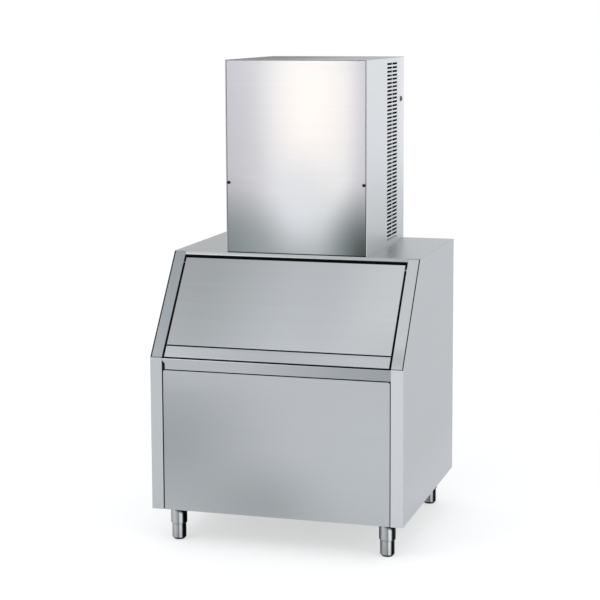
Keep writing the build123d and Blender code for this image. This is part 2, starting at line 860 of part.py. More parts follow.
head_panel_top = head_top_z - sheet
side_tall = head_panel_top - bin_height
vent_y = rear_y - vent_inset
vent_z = bin_height + side_tall / 2
vent_pitch = (side_tall - 2 * vent_margin) / (vent_rows - 1)
switch_y = rear_y - switch_inset
switch_z = bin_height + switch_height


def head_side(sign):
    """side panel with a narrow hem at the front and a flange behind the front panel"""
    outer = sign * head_half
    points = [
        (outer - sign * rear_flange, rear_y),
        (outer, rear_y),
        (outer, head_front),
        (outer - sign * hem, head_front),
        (outer - sign * hem, head_front + hem_depth),
        (outer - sign * (hem + inner_flange), head_front + hem_depth),
    ]
    if sign < 0:
        points.reverse()
    with BuildPart() as side:
        with BuildSketch(Plane.XY.offset(bin_height)):
            with BuildLine():
                FilletPolyline(*points, radius=hem_fold)
                offset(amount=sheet, side=Side.RIGHT)
            make_face()
        extrude(amount=side_tall)
        with BuildSketch(front_plane(head_front)):
            with Locations((sign * (head_half - screw_inset), bin_height + screw_height)):
                Circle(screw_shank_radius + fit_gap)
        extrude(amount=-(hem_depth + 2 * sheet), mode=Mode.SUBTRACT)
    return side


head_left_side = head_side(-1)
head_left_side.part.label = "head_left_side"
export_step(head_left_side.part, "parts/head_left_side.step")

with BuildPart() as head_right_side:
    add(head_side(1).part)
    vent_slots(side_plane(head_half), vent_y, vent_z, vent_length, vent_height, 2,
               vent_spacing, vent_rows, vent_pitch, 2 * sheet)
    with BuildSketch(side_plane(head_half)):
        with Locations((switch_y, switch_z)):
            Rectangle(switch_length - 2 * switch_bezel, switch_width - 2 * switch_bezel)
    extrude(amount=-2 * sheet, mode=Mode.SUBTRACT)
head_right_side.part.label = "head_right_side"
export_step(head_right_side.part, "parts/head_right_side.step")

# Front panel: a pan between the hems, held by two black screws
head_panel_half = head_half - hem - head_panel_gap
head_panel_bottom = bin_height + head_panel_gap
head_panel_end = head_panel_top - head_panel_gap
with BuildPart() as head_front_panel:
    upright_panel(head_panel_half, head_panel_bottom, head_panel_end, head_front,
                  head_panel_return)
    upright_panel(head_panel_half - sheet, head_panel_bottom + sheet, head_panel_end - sheet,
                  head_front + sheet, head_panel_return, Mode.SUBTRACT)
    front_edges = head_front_panel.faces().sort_by(Axis.Y)[0].edges()
    fillet(front_edges, sheet)
    with BuildSketch(front_plane(head_front)):
        with Locations((head_half - screw_inset, bin_height + screw_height),
                       (screw_inset - head_half, bin_height + screw_height)):
            Circle(screw_shank_radius + fit_gap)
    extrude(amount=-2 * sheet, mode=Mode.SUBTRACT)
head_front_panel.part.label = "head_front_panel"
export_step(head_front_panel.part, "parts/head_front_panel.step")

with BuildPart() as front_screws:
    for sign in (-1, 1):
        place = (sign * (head_half - screw_inset), bin_height + screw_height)
        with BuildSketch(front_plane(head_front)):
            with Locations(place):
                Circle(screw_head_radius)
        extrude(amount=screw_head)
        with BuildSketch(front_plane(head_front)):
            with Locations(place):
                Circle(screw_shank_radius)
        extrude(amount=-screw_shank)
    dome = front_screws.faces().filter_by(Axis.Y).group_by(Axis.Y)[0].edges()
    fillet(dome, screw_head / 2)
front_screws.part.label = "front_screws"
export_step(front_screws.part, "parts/front_screws.step")

# Top panel: flat sheet with a ring of down-turned flanges inside the casing
casing_front = head_front + hem_depth + sheet + fit_gap
with BuildPart() as head_top_panel:
    with BuildSketch(Plane.XY.offset(head_panel_top)):
        with Locations((0, (head_front + rear_y) / 2)):
            Rectangle(head_width, head_depth)
    extrude(amount=sheet)
    fillet(head_top_panel.faces().sort_by(Axis.Z)[-1].edges(), sheet / 2)
    ring_rear = rear_inside - sheet - fit_gap
    block((-casing_half, casing_half), (casing_front, ring_rear),
          (head_panel_top - top_flange, head_panel_top))
    block((-casing_half + sheet, casing_half - sheet), (casing_front + sheet, ring_rear - sheet),
          (head_panel_top - top_flange - 1, head_panel_top), Mode.SUBTRACT)
head_top_panel.part.label = "head_top_panel"
export_step(head_top_panel.part, "parts/head_top_panel.step")

# Head base: a tray with the hole that the ice falls through
drop_hole_x = evaporator_x
drop_hole_y = head_front + drop_hole_setback + drop_hole_depth / 2
probe_x = bulkhead_x + probe_offset
probe_y = head_front + probe_setback
with BuildPart() as head_base:
    base_front = head_front + hem_depth + sheet + fit_gap
    block((-casing_half, casing_half), (base_front, rear_inside - fit_gap),
          (bin_height, bin_height + base_upstand))
    block((-casing_half + base_sheet, casing_half - base_sheet),
          (base_front + base_sheet, rear_inside - fit_gap - base_sheet),
          (base_top, bin_height + base_upstand + 1), Mode.SUBTRACT)
    with BuildSketch(Plane.XY.offset(bin_height)):
        with Locations((drop_hole_x, drop_hole_y)):
            Rectangle(drop_hole_width, drop_hole_depth)
        with Locations((probe_x, probe_y)):
            Circle(probe_radius + fit_gap)
    extrude(amount=base_sheet, mode=Mode.SUBTRACT)
head_base.part.label = "head_base"
export_step(head_base.part, "parts/head_base.step")

# Ice level probe: a tube that hangs from the head's base into the bin
with BuildPart() as level_probe:
    turned(probe_x, probe_y, (
        (0, base_top - probe_length),
        (probe_radius, base_top - probe_length),
        (probe_radius, base_top),
        (probe_head_radius, base_top),
        (probe_head_radius, base_top + probe_head),
        (0, base_top + probe_head),
    ))
level_probe.part.label = "level_probe"
export_step(level_probe.part, "parts/level_probe.step")

# Rear panel, with the condenser's grille and the holes for water, drain and cable
condenser_bottom = bin_height + condenser_base
condenser_mid = condenser_bottom + condenser_height / 2
trough_left = -casing_half + base_sheet + trough_clearance
pump_x = trough_left + pump_inset_side
inlet_x = evaporator_x
inlet_z = bin_height + inlet_height
dump_x = pump_x + dump_offset
dump_z = base_top + dump_height
condenser_x = dry_x
condenser_width = dry_width - 2 * condenser_side_room
gland_x = casing_half - gland_inset
gland_z = bin_height + gland_height
with BuildPart() as head_rear_panel:
    upright_panel(casing_half - fit_gap, base_top + base_upstand, head_panel_top - fit_gap,
                  rear_inside, sheet)
    upright_panel(casing_half - base_sheet - fit_gap, base_top, base_top + base_upstand,
                  rear_inside, sheet)
    vent_slots(front_plane(rear_inside), condenser_x, condenser_mid, grille_length,
               vent_height, 2, grille_spacing, grille_rows, grille_pitch, 2 * sheet)
    with BuildSketch(front_plane(rear_inside)):
        with Locations((inlet_x, inlet_z)):
            Circle(inlet_thread_radius + fit_gap)
        with Locations((dump_x, dump_z)):
            Circle(dump_pipe_radius + fit_gap)
        with Locations((gland_x, gland_z)):
            Circle(gland_radius + fit_gap)
    extrude(amount=-2 * sheet, mode=Mode.SUBTRACT)
head_rear_panel.part.label = "head_rear_panel"
export_step(head_rear_panel.part, "parts/head_rear_panel.step")

# Bulkhead between the wet and the dry side, pierced for the refrigerant lines
bulkhead_top = head_panel_top - top_flange - fit_gap
bulkhead_front = casing_front + base_sheet
bulkhead_rear = rear_inside - fit_gap - base_sheet
coil_y = evaporator_front + evaporator_depth + coil_radius + fit_gap
coil_low = evaporator_mid - coil_pitch * (coil_runs - 1) / 2
coil_high = evaporator_mid + coil_pitch * (coil_runs - 1) / 2
with BuildPart() as bulkhead:
    with BuildSketch(side_plane(bulkhead_x)):
        with Locations(((bulkhead_front + bulkhead_rear) / 2, (base_top + bulkhead_top) / 2)):
            Rectangle(bulkhead_rear - bulkhead_front, bulkhead_top - base_top)
        with Locations((coil_y, coil_low), (coil_y, coil_high)):
            Circle(coil_radius + fit_gap, mode=Mode.SUBTRACT)
    extrude(amount=sheet)
    block((bulkhead_x, bulkhead_x + flange), (bulkhead_front, bulkhead_rear),
          (base_top, base_top + sheet))
bulkhead.part.label = "bulkhead"
export_step(bulkhead.part, "parts/bulkhead.step")

# Ice making

# Evaporator plate: a grid of open cells, one for each cube
with BuildPart() as evaporator_plate:
    with BuildSketch(front_plane(evaporator_front)):
        with Locations((evaporator_x, evaporator_mid)):
            Rectangle(evaporator_width, evaporator_height)
    extrude(amount=-evaporator_depth)
    with BuildSketch(front_plane(evaporator_front)):
        with Locations((evaporator_x, evaporator_mid)):
            with GridLocations(cell_pitch, cell_pitch, cell_columns, cell_rows):
                Rectangle(cell_pitch - cell_wall, cell_pitch - cell_wall)
    extrude(amount=-cell_depth, mode=Mode.SUBTRACT)
evaporator_plate.part.label = "evaporator_plate"
export_step(evaporator_plate.part, "parts/evaporator_plate.step")

# Serpentine coil on the plate's back, its two ends passing through the bulkhead
coil_left = evaporator_x - evaporator_width / 2 + coil_pitch / 2
coil_right = evaporator_x + evaporator_width / 2 - coil_pitch / 2
coil_end = bulkhead_x + flange
with BuildPart() as evaporator_coil:
    route = [(coil_end, coil_y, coil_low)]
    for run in range(coil_runs):
        z = coil_low + run * coil_pitch
        near, far = (coil_left, coil_right) if run % 2 else (coil_right, coil_left)
        if run > 0:
            route.append((near, coil_y, z))
        if run < coil_runs - 1:
            route.append((far, coil_y, z))
    route.append((coil_end, coil_y, coil_high))
    tube(route, coil_radius, coil_pitch / 2 - fit_gap)
evaporator_coil.part.label = "evaporator_coil"
export_step(evaporator_coil.part, "parts/evaporator_coil.step")

# Plastic frame that carries the plate between the casing and the bulkhead
plate_left = evaporator_x - evaporator_width / 2 - fit_gap
plate_right = evaporator_x + evaporator_width / 2 + fit_gap
frame_left = plate_left - frame_margin
frame_right = plate_right + frame_margin
frame_back = coil_y
beam_bottom = evaporator_top + fit_gap
beam_top = beam_bottom + frame_beam
cross_left = -casing_half + fit_gap
cross_right = bulkhead_x - fit_gap
frame_front = evaporator_front - frame_reach
curtain_y = evaporator_front - curtain_gap
curtain_z = beam_top - curtain_barrel - fit_gap
with BuildPart() as evaporator_frame:
    block((cross_left, cross_right), (evaporator_front, frame_back), (beam_bottom, beam_top))
    for lo, hi in ((frame_left, plate_left), (plate_right, frame_right)):
        block((lo, hi), (evaporator_front, frame_back),
              (evaporator_base - frame_margin, beam_bottom))
    block((frame_left, frame_right), (evaporator_front, frame_back),
          (evaporator_base - frame_margin, evaporator_base - fit_gap))
    for lo, hi in ((frame_left, plate_left), (plate_right, frame_right)):
        block((lo, hi), (frame_front, evaporator_front), (beam_bottom - frame_beam, beam_top))
    with BuildSketch(side_plane(frame_left - 1)):
        with Locations((curtain_y, curtain_z)):
            Circle(curtain_pin_radius + pin_clearance)
    extrude(amount=frame_right - frame_left + 2, mode=Mode.SUBTRACT)
    with BuildSketch(side_plane(plate_right - 1)):
        with Locations((coil_y, coil_low), (coil_y, coil_high)):
            Circle(coil_radius + fit_gap)
    extrude(amount=frame_margin + 2, mode=Mode.SUBTRACT)
evaporator_frame.part.label = "evaporator_frame"
export_step(evaporator_frame.part, "parts/evaporator_frame.step")

# Water curtain: hangs in front of the plate and swings out as the ice drops
curtain_left = plate_left + curtain_side_gap
curtain_right = plate_right - curtain_side_gap
with BuildPart() as water_curtain:
    block((curtain_left, curtain_right),
          (curtain_y - curtain_sheet / 2, curtain_y + curtain_sheet / 2),
          (evaporator_base - curtain_hang, curtain_z))
    with BuildSketch(side_plane(curtain_left)):
        with Locations((curtain_y, curtain_z)):
            Circle(curtain_barrel)
    extrude(amount=curtain_right - curtain_left)
    with BuildSketch(side_plane(frame_left)):
        with Locations((curtain_y, curtain_z)):
            Circle(curtain_pin_radius)
    extrude(amount=frame_right - frame_left)
water_curtain.part.label = "water_curtain"
export_step(water_curtain.part, "parts/water_curtain.step")

# Water trough under the plate, with the pump standing in its left rear corner
trough_right = bulkhead_x - trough_clearance
trough_front = curtain_y + trough_gap
trough_rear = trough_front + trough_depth
pump_y = trough_rear - pump_inset_rear
trough_rim = base_top + trough_height
with BuildPart() as water_trough:
    with BuildSketch(Plane.XY.offset(base_top)):
        with Locations(((trough_left + trough_right) / 2, (trough_front + trough_rear) / 2)):
            outline = Rectangle(trough_right - trough_left, trough_depth)
            fillet(outline.vertices(), trough_radius)
    extrude(amount=trough_height)
    with BuildSketch(Plane.XY.offset(base_top + trough_wall)):
        with Locations(((trough_left + trough_right) / 2, (trough_front + trough_rear) / 2)):
            hollow = Rectangle(trough_right - trough_left - 2 * trough_wall,
                               trough_depth - 2 * trough_wall)
            fillet(hollow.vertices(), trough_radius - trough_wall)
    extrude(amount=trough_height, mode=Mode.SUBTRACT)
    with BuildSketch(front_plane(trough_rear - 2 * trough_wall)):
        with Locations((dump_x, dump_z)):
            Circle(dump_pipe_radius + fit_gap)
    extrude(amount=-3 * trough_wall, mode=Mode.SUBTRACT)
water_trough.part.label = "water_trough"
export_step(water_trough.part, "parts/water_trough.step")

# Pump: casing in the water, impeller on a long shaft, motor on the trough's rim
casing_bottom = base_top + trough_wall
casing_top = casing_bottom + pump_casing_height
motor_bottom = trough_rim + motor_plate
motor_plate_half = pump_motor_radius + motor_plate_margin
with BuildPart() as pump_casing:
    turned(pump_x, pump_y, (
        (0, casing_bottom),
        (pump_radius, casing_bottom),
        (pump_radius, casing_top),
        (pump_shaft_radius + shaft_collar, casing_top),
        (pump_shaft_radius + shaft_collar, casing_top - pump_wall),
        (pump_radius - pump_wall, casing_top - pump_wall),
        (pump_radius - pump_wall, casing_bottom + pump_wall),
        (0, casing_bottom + pump_wall),
    ))
    with BuildSketch(Plane.XY.offset(casing_top)):
        with Locations((pump_x, pump_y)):
            with PolarLocations(pump_radius - 2 * pump_wall, pump_posts, 90):
                Circle(pump_wall)
    extrude(amount=trough_rim - casing_top)
pump_casing.part.label = "pump_casing"
export_step(pump_casing.part, "parts/pump_casing.step")

with BuildPart() as pump_motor:
    with BuildSketch(Plane.XY.offset(trough_rim)):
        with Locations((pump_x, trough_rear - motor_plate_half)):
            Rectangle(2 * motor_plate_half, 2 * motor_plate_half)
        with Locations((pump_x, pump_y)):
            Circle(pump_shaft_radius + pin_clearance, mode=Mode.SUBTRACT)
    extrude(amount=motor_plate)
    with BuildSketch(Plane.XY.offset(motor_bottom)):
        with Locations((pump_x, pump_y)):
            Circle(pump_motor_radius)
    extrude(amount=pump_motor_height)
    fillet(pump_motor.faces().sort_by(Axis.Z)[-1].edges(), motor_round)
    with BuildSketch(Plane.XY.offset(motor_bottom)):
        with Locations((pump_x, pump_y)):
            Circle(pump_shaft_radius + pin_clearance)
    extrude(amount=pump_motor_height / 2, mode=Mode.SUBTRACT)
pump_motor.part.label = "pump_motor"
export_step(pump_motor.part, "parts/pump_motor.step")

impeller_bottom = casing_bottom + pump_wall + impeller_gap
impeller_top = impeller_bottom + impeller_disc
shaft_top = motor_bottom + pump_motor_height / 2 - impeller_gap
vane_start = pump_shaft_radius / 2
vane_end = impeller_radius - impeller_gap
with BuildPart() as pump_impeller:
    turned(pump_x, pump_y, (
        (0, impeller_bottom),
        (impeller_radius, impeller_bottom),
        (impeller_radius, impeller_top),
        (pump_shaft_radius, impeller_top),
        (pump_shaft_radius, shaft_top),
        (0, shaft_top),
    ))
    with BuildSketch(Plane.XY.offset(impeller_top)):
        with Locations((pump_x, pump_y)):
            with PolarLocations((vane_start + vane_end) / 2, impeller_vanes):
                Rectangle(vane_end - vane_start, vane_sheet)
    extrude(amount=impeller_height)
pump_impeller.part.label = "pump_impeller"
export_step(pump_impeller.part, "parts/pump_impeller.step")

# Distributor tube over the plate
distributor_y = evaporator_front + distributor_radius
distributor_z = beam_top + distributor_radius + fit_gap
distributor_end = plate_right
with BuildPart() as water_distributor:
    with BuildSketch(side_plane(plate_left)):
        with Locations((distributor_y, distributor_z)):
            Circle(distributor_radius)
    extrude(amount=distributor_end - plate_left)
    with BuildSketch(side_plane(plate_left + distributor_wall)):
        with Locations((distributor_y, distributor_z)):
            Circle(distributor_radius - distributor_wall)
    extrude(amount=distributor_end - plate_left - 2 * distributor_wall, mode=Mode.SUBTRACT)
    with BuildSketch(front_plane(distributor_y)):
        with Locations((evaporator_x, distributor_z)):
            with GridLocations(cell_pitch, 1, cell_columns, 1):
                Circle(distributor_hole)
    extrude(amount=2 * distributor_radius, mode=Mode.SUBTRACT)
    with BuildSketch(front_plane(distributor_y)):
        with Locations((pump_x, distributor_z)):
            Circle(riser_radius + fit_gap)
    extrude(amount=-2 * distributor_radius, mode=Mode.SUBTRACT)
water_distributor.part.label = "water_distributor"
export_step(water_distributor.part, "parts/water_distributor.step")

# Inlet valve: thread through the rear panel, coil can on top
valve_y = rear_inside - valve_block / 2
with BuildPart() as inlet_valve:
    with BuildSketch(Plane.XY.offset(inlet_z - valve_block / 2)):
        with Locations((inlet_x, valve_y)):
            outline = Rectangle(valve_block, valve_block)
            fillet(outline.vertices(), valve_round)
    extrude(amount=valve_block)
    with BuildSketch(Plane.XY.offset(inlet_z + valve_block / 2)):
        with Locations((inlet_x, valve_y)):
            Circle(coil_can_radius)
    extrude(amount=coil_can_height)
    with BuildSketch(front_plane(rear_inside - 1)):
        with Locations((inlet_x, inlet_z)):
            Circle(inlet_thread_radius)
    extrude(amount=-(1 + 2 * sheet + inlet_thread_length))
    with BuildSketch(front_plane(rear_inside + sheet)):
        with Locations((inlet_x, inlet_z)):
            RegularPolygon(nut_radius, 6)
    extrude(amount=-nut_depth)
    with BuildSketch(front_plane(rear_inside - sheet)):
        with Locations((inlet_x, inlet_z)):
            Circle(inlet_bore)
    extrude(amount=-(inlet_thread_length + 4 * sheet), mode=Mode.SUBTRACT)
inlet_valve.part.label = "inlet_valve"
export_step(inlet_valve.part, "parts/inlet_valve.step")

# Water hoses: from the pump up to the distributor, and from the inlet valve down to the trough
outlet_z = casing_bottom + outlet_height
riser_y = pump_y - pump_radius - riser_gap
with BuildPart() as water_hoses:
    tube([
        (pump_x, pump_y - pump_radius - fit_gap, outlet_z),
        (pump_x, riser_y, outlet_z),
        (pump_x, riser_y, distributor_z),
        (pump_x, distributor_y + distributor_radius - distributor_wall, distributor_z),
    ], riser_radius, riser_bend)
    tube([
        (inlet_x, valve_y, inlet_z - valve_block / 2),
        (inlet_x, valve_y, trough_rim + 3 * fill_drop),
        (inlet_x, trough_rear - fill_drop, trough_rim + 3 * fill_drop),
        (inlet_x, trough_rear - fill_drop, trough_rim - fill_drop),
    ], fill_radius, riser_bend)
water_hoses.part.label = "water_hoses"
export_step(water_hoses.part, "parts/water_hoses.step")

# Dump valve: pipe from the trough out through the rear panel, valve block midway
dump_block_y = (trough_rear + rear_inside) / 2
dump_length = rear_y + dump_reach - trough_rear + trough_wall
with BuildPart() as dump_valve:
    with BuildSketch(front_plane(trough_rear - trough_wall)):
        with Locations((dump_x, dump_z)):
            Circle(dump_pipe_radius)
    extrude(amount=-dump_length)
    block((dump_x - valve_block / 2, dump_x + valve_block / 2),
          (dump_block_y - valve_block / 2, dump_block_y + valve_block / 2),
          (dump_z - valve_block / 2, dump_z + valve_block / 2))
    with BuildSketch(Plane.XY.offset(dump_z + valve_block / 2)):
        with Locations((dump_x, dump_block_y)):
            Circle(coil_can_radius)
    extrude(amount=coil_can_height)
    with BuildSketch(front_plane(rear_inside + sheet)):
        with Locations((dump_x, dump_z)):
            Circle(dump_flange_radius)
    extrude(amount=-dump_flange)
    with BuildSketch(front_plane(rear_inside - valve_block)):
        with Locations((dump_x, dump_z)):
            Circle(dump_pipe_bore)
    extrude(amount=-(2 * valve_block + dump_reach), mode=Mode.SUBTRACT)
dump_valve.part.label = "dump_valve"
export_step(dump_valve.part, "parts/dump_valve.step")

# Refrigeration

# Compressor: a welded steel can on a foot plate, with the terminal box at its front
compressor_x = dry_x
compressor_y = head_front + compressor_setback
compressor_foot_x = dry_width / 2 - compressor_side_room - foot_margin
foot_z = base_top + grommet_height
shell_bottom = base_top + compressor_lift
shell_top = shell_bottom + compressor_shell
seam_z = shell_bottom + compressor_shell / 2
with BuildPart() as compressor:
    with BuildSketch(Plane(origin=(compressor_x, compressor_y, 0), x_dir=(1, 0, 0),
                           z_dir=(0, -1, 0))):
        with BuildLine():
            Polyline((0, shell_bottom), (compressor_radius, shell_bottom),
                     (compressor_radius, shell_top), (0, shell_top), close=True)
        make_face()
        fillet(vertices().group_by(Axis.X)[-1], compressor_dome)
    revolve(axis=Axis((compressor_x, compressor_y, 0), (0, 0, 1)))
    with BuildSketch(Plane.XY.offset(seam_z)):
        with Locations((compressor_x, compressor_y)):
            Circle(compressor_radius + compressor_seam)
    extrude(amount=seam_height)
    with BuildSketch(Plane.XY.offset(foot_z)):
        with Locations((compressor_x, compressor_y)):
            outline = Rectangle(2 * (compressor_foot_x + foot_margin),
                                2 * (compressor_foot_y + foot_margin))
            fillet(outline.vertices(), foot_margin)
            with GridLocations(2 * compressor_foot_x, 2 * compressor_foot_y, 2, 2):
                Circle(grommet_radius / 2 + fit_gap, mode=Mode.SUBTRACT)
    extrude(amount=compressor_foot)
    box_x, box_y, box_z = terminal_box
    block((compressor_x - box_x / 2, compressor_x + box_x / 2),
          (compressor_y - compressor_radius - box_y, compressor_y - compressor_radius / 2),
          (seam_z - box_z, seam_z))
compressor.part.label = "compressor"
export_step(compressor.part, "parts/compressor.step")

with BuildPart() as compressor_grommets:
    for side in (-1, 1):
        for end in (-1, 1):
            turned(compressor_x + side * compressor_foot_x,
                   compressor_y + end * compressor_foot_y, (
                (0, base_top),
                (grommet_radius, base_top),
                (grommet_radius, foot_z),
                (grommet_radius / 2, foot_z),
                (grommet_radius / 2, foot_z + compressor_foot),
                (grommet_top, foot_z + compressor_foot),
                (grommet_top, foot_z + 2 * compressor_foot),
                (0, foot_z + 2 * compressor_foot),
            ))
compressor_grommets.part.label = "compressor_grommets"
export_step(compressor_grommets.part, "parts/compressor_grommets.step")

# Condenser: finned block between two end plates, its tubes joined by hairpin bends
condenser_left = condenser_x - condenser_width / 2
condenser_right = condenser_x + condenser_width / 2
condenser_rear = rear_inside - fit_gap
condenser_front = condenser_rear - condenser_depth
condenser_y = (condenser_front + condenser_rear) / 2
condenser_top = condenser_bottom + condenser_height
tube_pitch = condenser_height / condenser_tubes
fin_pitch = (condenser_width - 2 * condenser_ends) / fins
with BuildPart() as condenser:
    block((condenser_left, condenser_right), (condenser_front, condenser_rear),
          (condenser_bottom, condenser_top))
    for face_y, way in ((condenser_front, -1), (condenser_rear, 1)):
        with BuildSketch(front_plane(face_y)):
            with Locations((condenser_x, condenser_mid)):
                with GridLocations(fin_pitch, 1, fins, 1):
                    Rectangle(fin_gap, condenser_height - 2 * condenser_ends)
        extrude(amount=way * fin_groove, mode=Mode.SUBTRACT)
    for row in range(condenser_tubes - 1):
        low = condenser_bottom + (row + 0.5) * tube_pitch
        wall_x, way = (condenser_right, 1) if row % 2 else (condenser_left, -1)
        out_x = wall_x + way * hairpin_reach
        tube([
            (wall_x, condenser_y, low),
            (out_x, condenser_y, low),
            (out_x, condenser_y, low + tube_pitch),
            (wall_x, condenser_y, low + tube_pitch),
        ], condenser_tube_radius, hairpin_bend)
condenser.part.label = "condenser"
export_step(condenser.part, "parts/condenser.step")

# Fan: shroud on the condenser, twisted blades, motor held by a three-armed bracket
fan_x = condenser_x
fan_radius = condenser_width / 2 - fan_margin
bracket_radius = fan_radius + bracket_gap
fan_z = condenser_mid
shroud_back = condenser_front - fit_gap
shroud_front = shroud_back - shroud_depth
ring_front = shroud_front - shroud_ring
ring_radius = fan_radius + fan_tip_gap
with BuildPart() as fan_shroud:
    block((condenser_left, condenser_right), (shroud_front, shroud_back),
          (condenser_bottom, condenser_top))
    block((condenser_left + shroud_sheet, condenser_right - shroud_sheet),
          (shroud_front + shroud_sheet, shroud_back),
          (condenser_bottom + shroud_sheet, condenser_top - shroud_sheet), Mode.SUBTRACT)
    with BuildSketch(front_plane(shroud_front)):
        with Locations((fan_x, fan_z)):
            Circle(ring_radius + shroud_sheet)
    extrude(amount=shroud_ring)
    with BuildSketch(front_plane(shroud_front + shroud_sheet)):
        with Locations((fan_x, fan_z)):
            Circle(ring_radius)
    extrude(amount=shroud_ring + shroud_sheet, mode=Mode.SUBTRACT)
fan_shroud.part.label = "fan_shroud"
export_step(fan_shroud.part, "parts/fan_shroud.step")

fan_mid_y = shroud_front - shroud_ring / 2
hub_front = fan_mid_y - fan_hub_depth / 2
motor_back = hub_front - fan_motor_gap
motor_front = motor_back - fan_motor_length
shaft_depth = fan_motor_length / 3


def blade_section(angle, radius, chord, twist):
    """thin rounded section across a blade, at a radius from the fan's axis"""
    out = Vector(cos(radians(angle)), 0, sin(radians(angle)))
    around = Vector(-sin(radians(angle)), 0, cos(radians(angle)))
    along = around * cos(radians(twist)) + Vector(0, 1, 0) * sin(radians(twist))
    middle = Vector(fan_x, fan_mid_y, fan_z) + out * radius
    with BuildSketch(Plane(origin=middle, x_dir=along, z_dir=out)) as section:
        Rectangle(chord, blade_sheet)
    return section.sketch


with BuildPart() as fan_blade:
    for number in range(fan_blades):
        turn = number * 360 / fan_blades
        root = blade_section(turn, fan_hub_radius - blade_inset, blade_root, root_twist)
        tip = blade_section(turn, fan_radius, blade_tip, tip_twist)
        loft([root, tip])
    with BuildSketch(front_plane(hub_front)):
        with Locations((fan_x, fan_z)):
            Circle(fan_hub_radius)
    extrude(amount=-fan_hub_depth)
    with BuildSketch(front_plane(hub_front)):
        with Locations((fan_x, fan_z)):
            Circle(fan_shaft_radius)
    extrude(amount=fan_motor_gap + shaft_depth - 1)
fan_blade.part.label = "fan_blade"
export_step(fan_blade.part, "parts/fan_blade.step")

with BuildPart() as fan_motor:
    with BuildSketch(front_plane(motor_front)):
        with Locations((fan_x, fan_z)):
            Circle(fan_motor_radius)
    extrude(amount=-fan_motor_length)
    fillet(fan_motor.edges().filter_by(GeomType.CIRCLE), motor_round)
    with BuildSketch(front_plane(motor_back)):
        with Locations((fan_x, fan_z)):
            Circle(fan_shaft_radius + pin_clearance)
    extrude(amount=shaft_depth, mode=Mode.SUBTRACT)
fan_motor.part.label = "fan_motor"
export_step(fan_motor.part, "parts/fan_motor.step")

clamp_radius = fan_motor_radius + fit_gap
clamp_y = (motor_front + motor_back) / 2
with BuildPart() as fan_bracket:
    with BuildSketch(front_plane(clamp_y)):
        with Locations((fan_x, fan_z)):
            Circle(clamp_radius + bracket_sheet)
    extrude(amount=bracket_clamp / 2, both=True)
    for arm in range(bracket_arms):
        angle = radians(90 + arm * 360 / bracket_arms)
        out = Vector(cos(angle), 0, sin(angle))
        across = Vector(-sin(angle), 0, cos(angle))
        with BuildSketch(Plane(origin=(fan_x, 0, fan_z), x_dir=out, z_dir=across)):
            with BuildLine():
                FilletPolyline((clamp_radius, clamp_y), (bracket_radius, clamp_y),
                               (bracket_radius, shroud_front), radius=2 * bracket_sheet)
                offset(amount=bracket_sheet, side=Side.LEFT)
            make_face()
        extrude(amount=bracket_strap / 2, both=True)
    with BuildSketch(front_plane(clamp_y)):
        with Locations((fan_x, fan_z)):
            Circle(clamp_radius)
    extrude(amount=bracket_clamp, both=True, mode=Mode.SUBTRACT)
fan_bracket.part.label = "fan_bracket"
export_step(fan_bracket.part, "parts/fan_bracket.step")

# Filter drier, hot gas valve and the copper lines between the pieces
line_x = coil_end + 2 * line_bend
side_x = condenser_right + line_side_gap
drier_y = (compressor_y + compressor_foot_y + condenser_front) / 2
drier_z = base_top + grommet_height + 2 * drier_radius
drier_left = fan_x - drier_length / 2
drier_right = fan_x + drier_length / 2
tube_low = condenser_bottom + tube_pitch / 2
tube_high = condenser_top - tube_pitch / 2
hot_gas_z = bin_height + hot_gas_height
hot_gas_y = compressor_y + compressor_radius + 2 * drier_radius
with BuildPart() as filter_drier:
    with BuildSketch(side_plane(drier_left)):
        with Locations((drier_y, drier_z)):
            Circle(drier_radius)
    extrude(amount=drier_length)
    chamfer(filter_drier.edges().filter_by(GeomType.CIRCLE), drier_taper)
filter_drier.part.label = "filter_drier"
export_step(filter_drier.part, "parts/filter_drier.step")

valve_half = hot_gas_valve_size / 2
with BuildPart() as hot_gas_valve:
    block((side_x - valve_half, side_x + valve_half), (hot_gas_y - valve_half, hot_gas_y + valve_half),
          (hot_gas_z - valve_half, hot_gas_z + valve_half))
    with BuildSketch(front_plane(hot_gas_y - valve_half)):
        with Locations((side_x, hot_gas_z)):
            Circle(valve_half - 1)
    extrude(amount=hot_gas_valve_size)
    with BuildSketch(Plane.XY.offset(hot_gas_z)):
        with Locations((side_x, hot_gas_y)):
            Circle(line_radius + fit_gap)
    extrude(amount=hot_gas_valve_size, both=True, mode=Mode.SUBTRACT)
hot_gas_valve.part.label = "hot_gas_valve"
export_step(hot_gas_valve.part, "parts/hot_gas_valve.step")

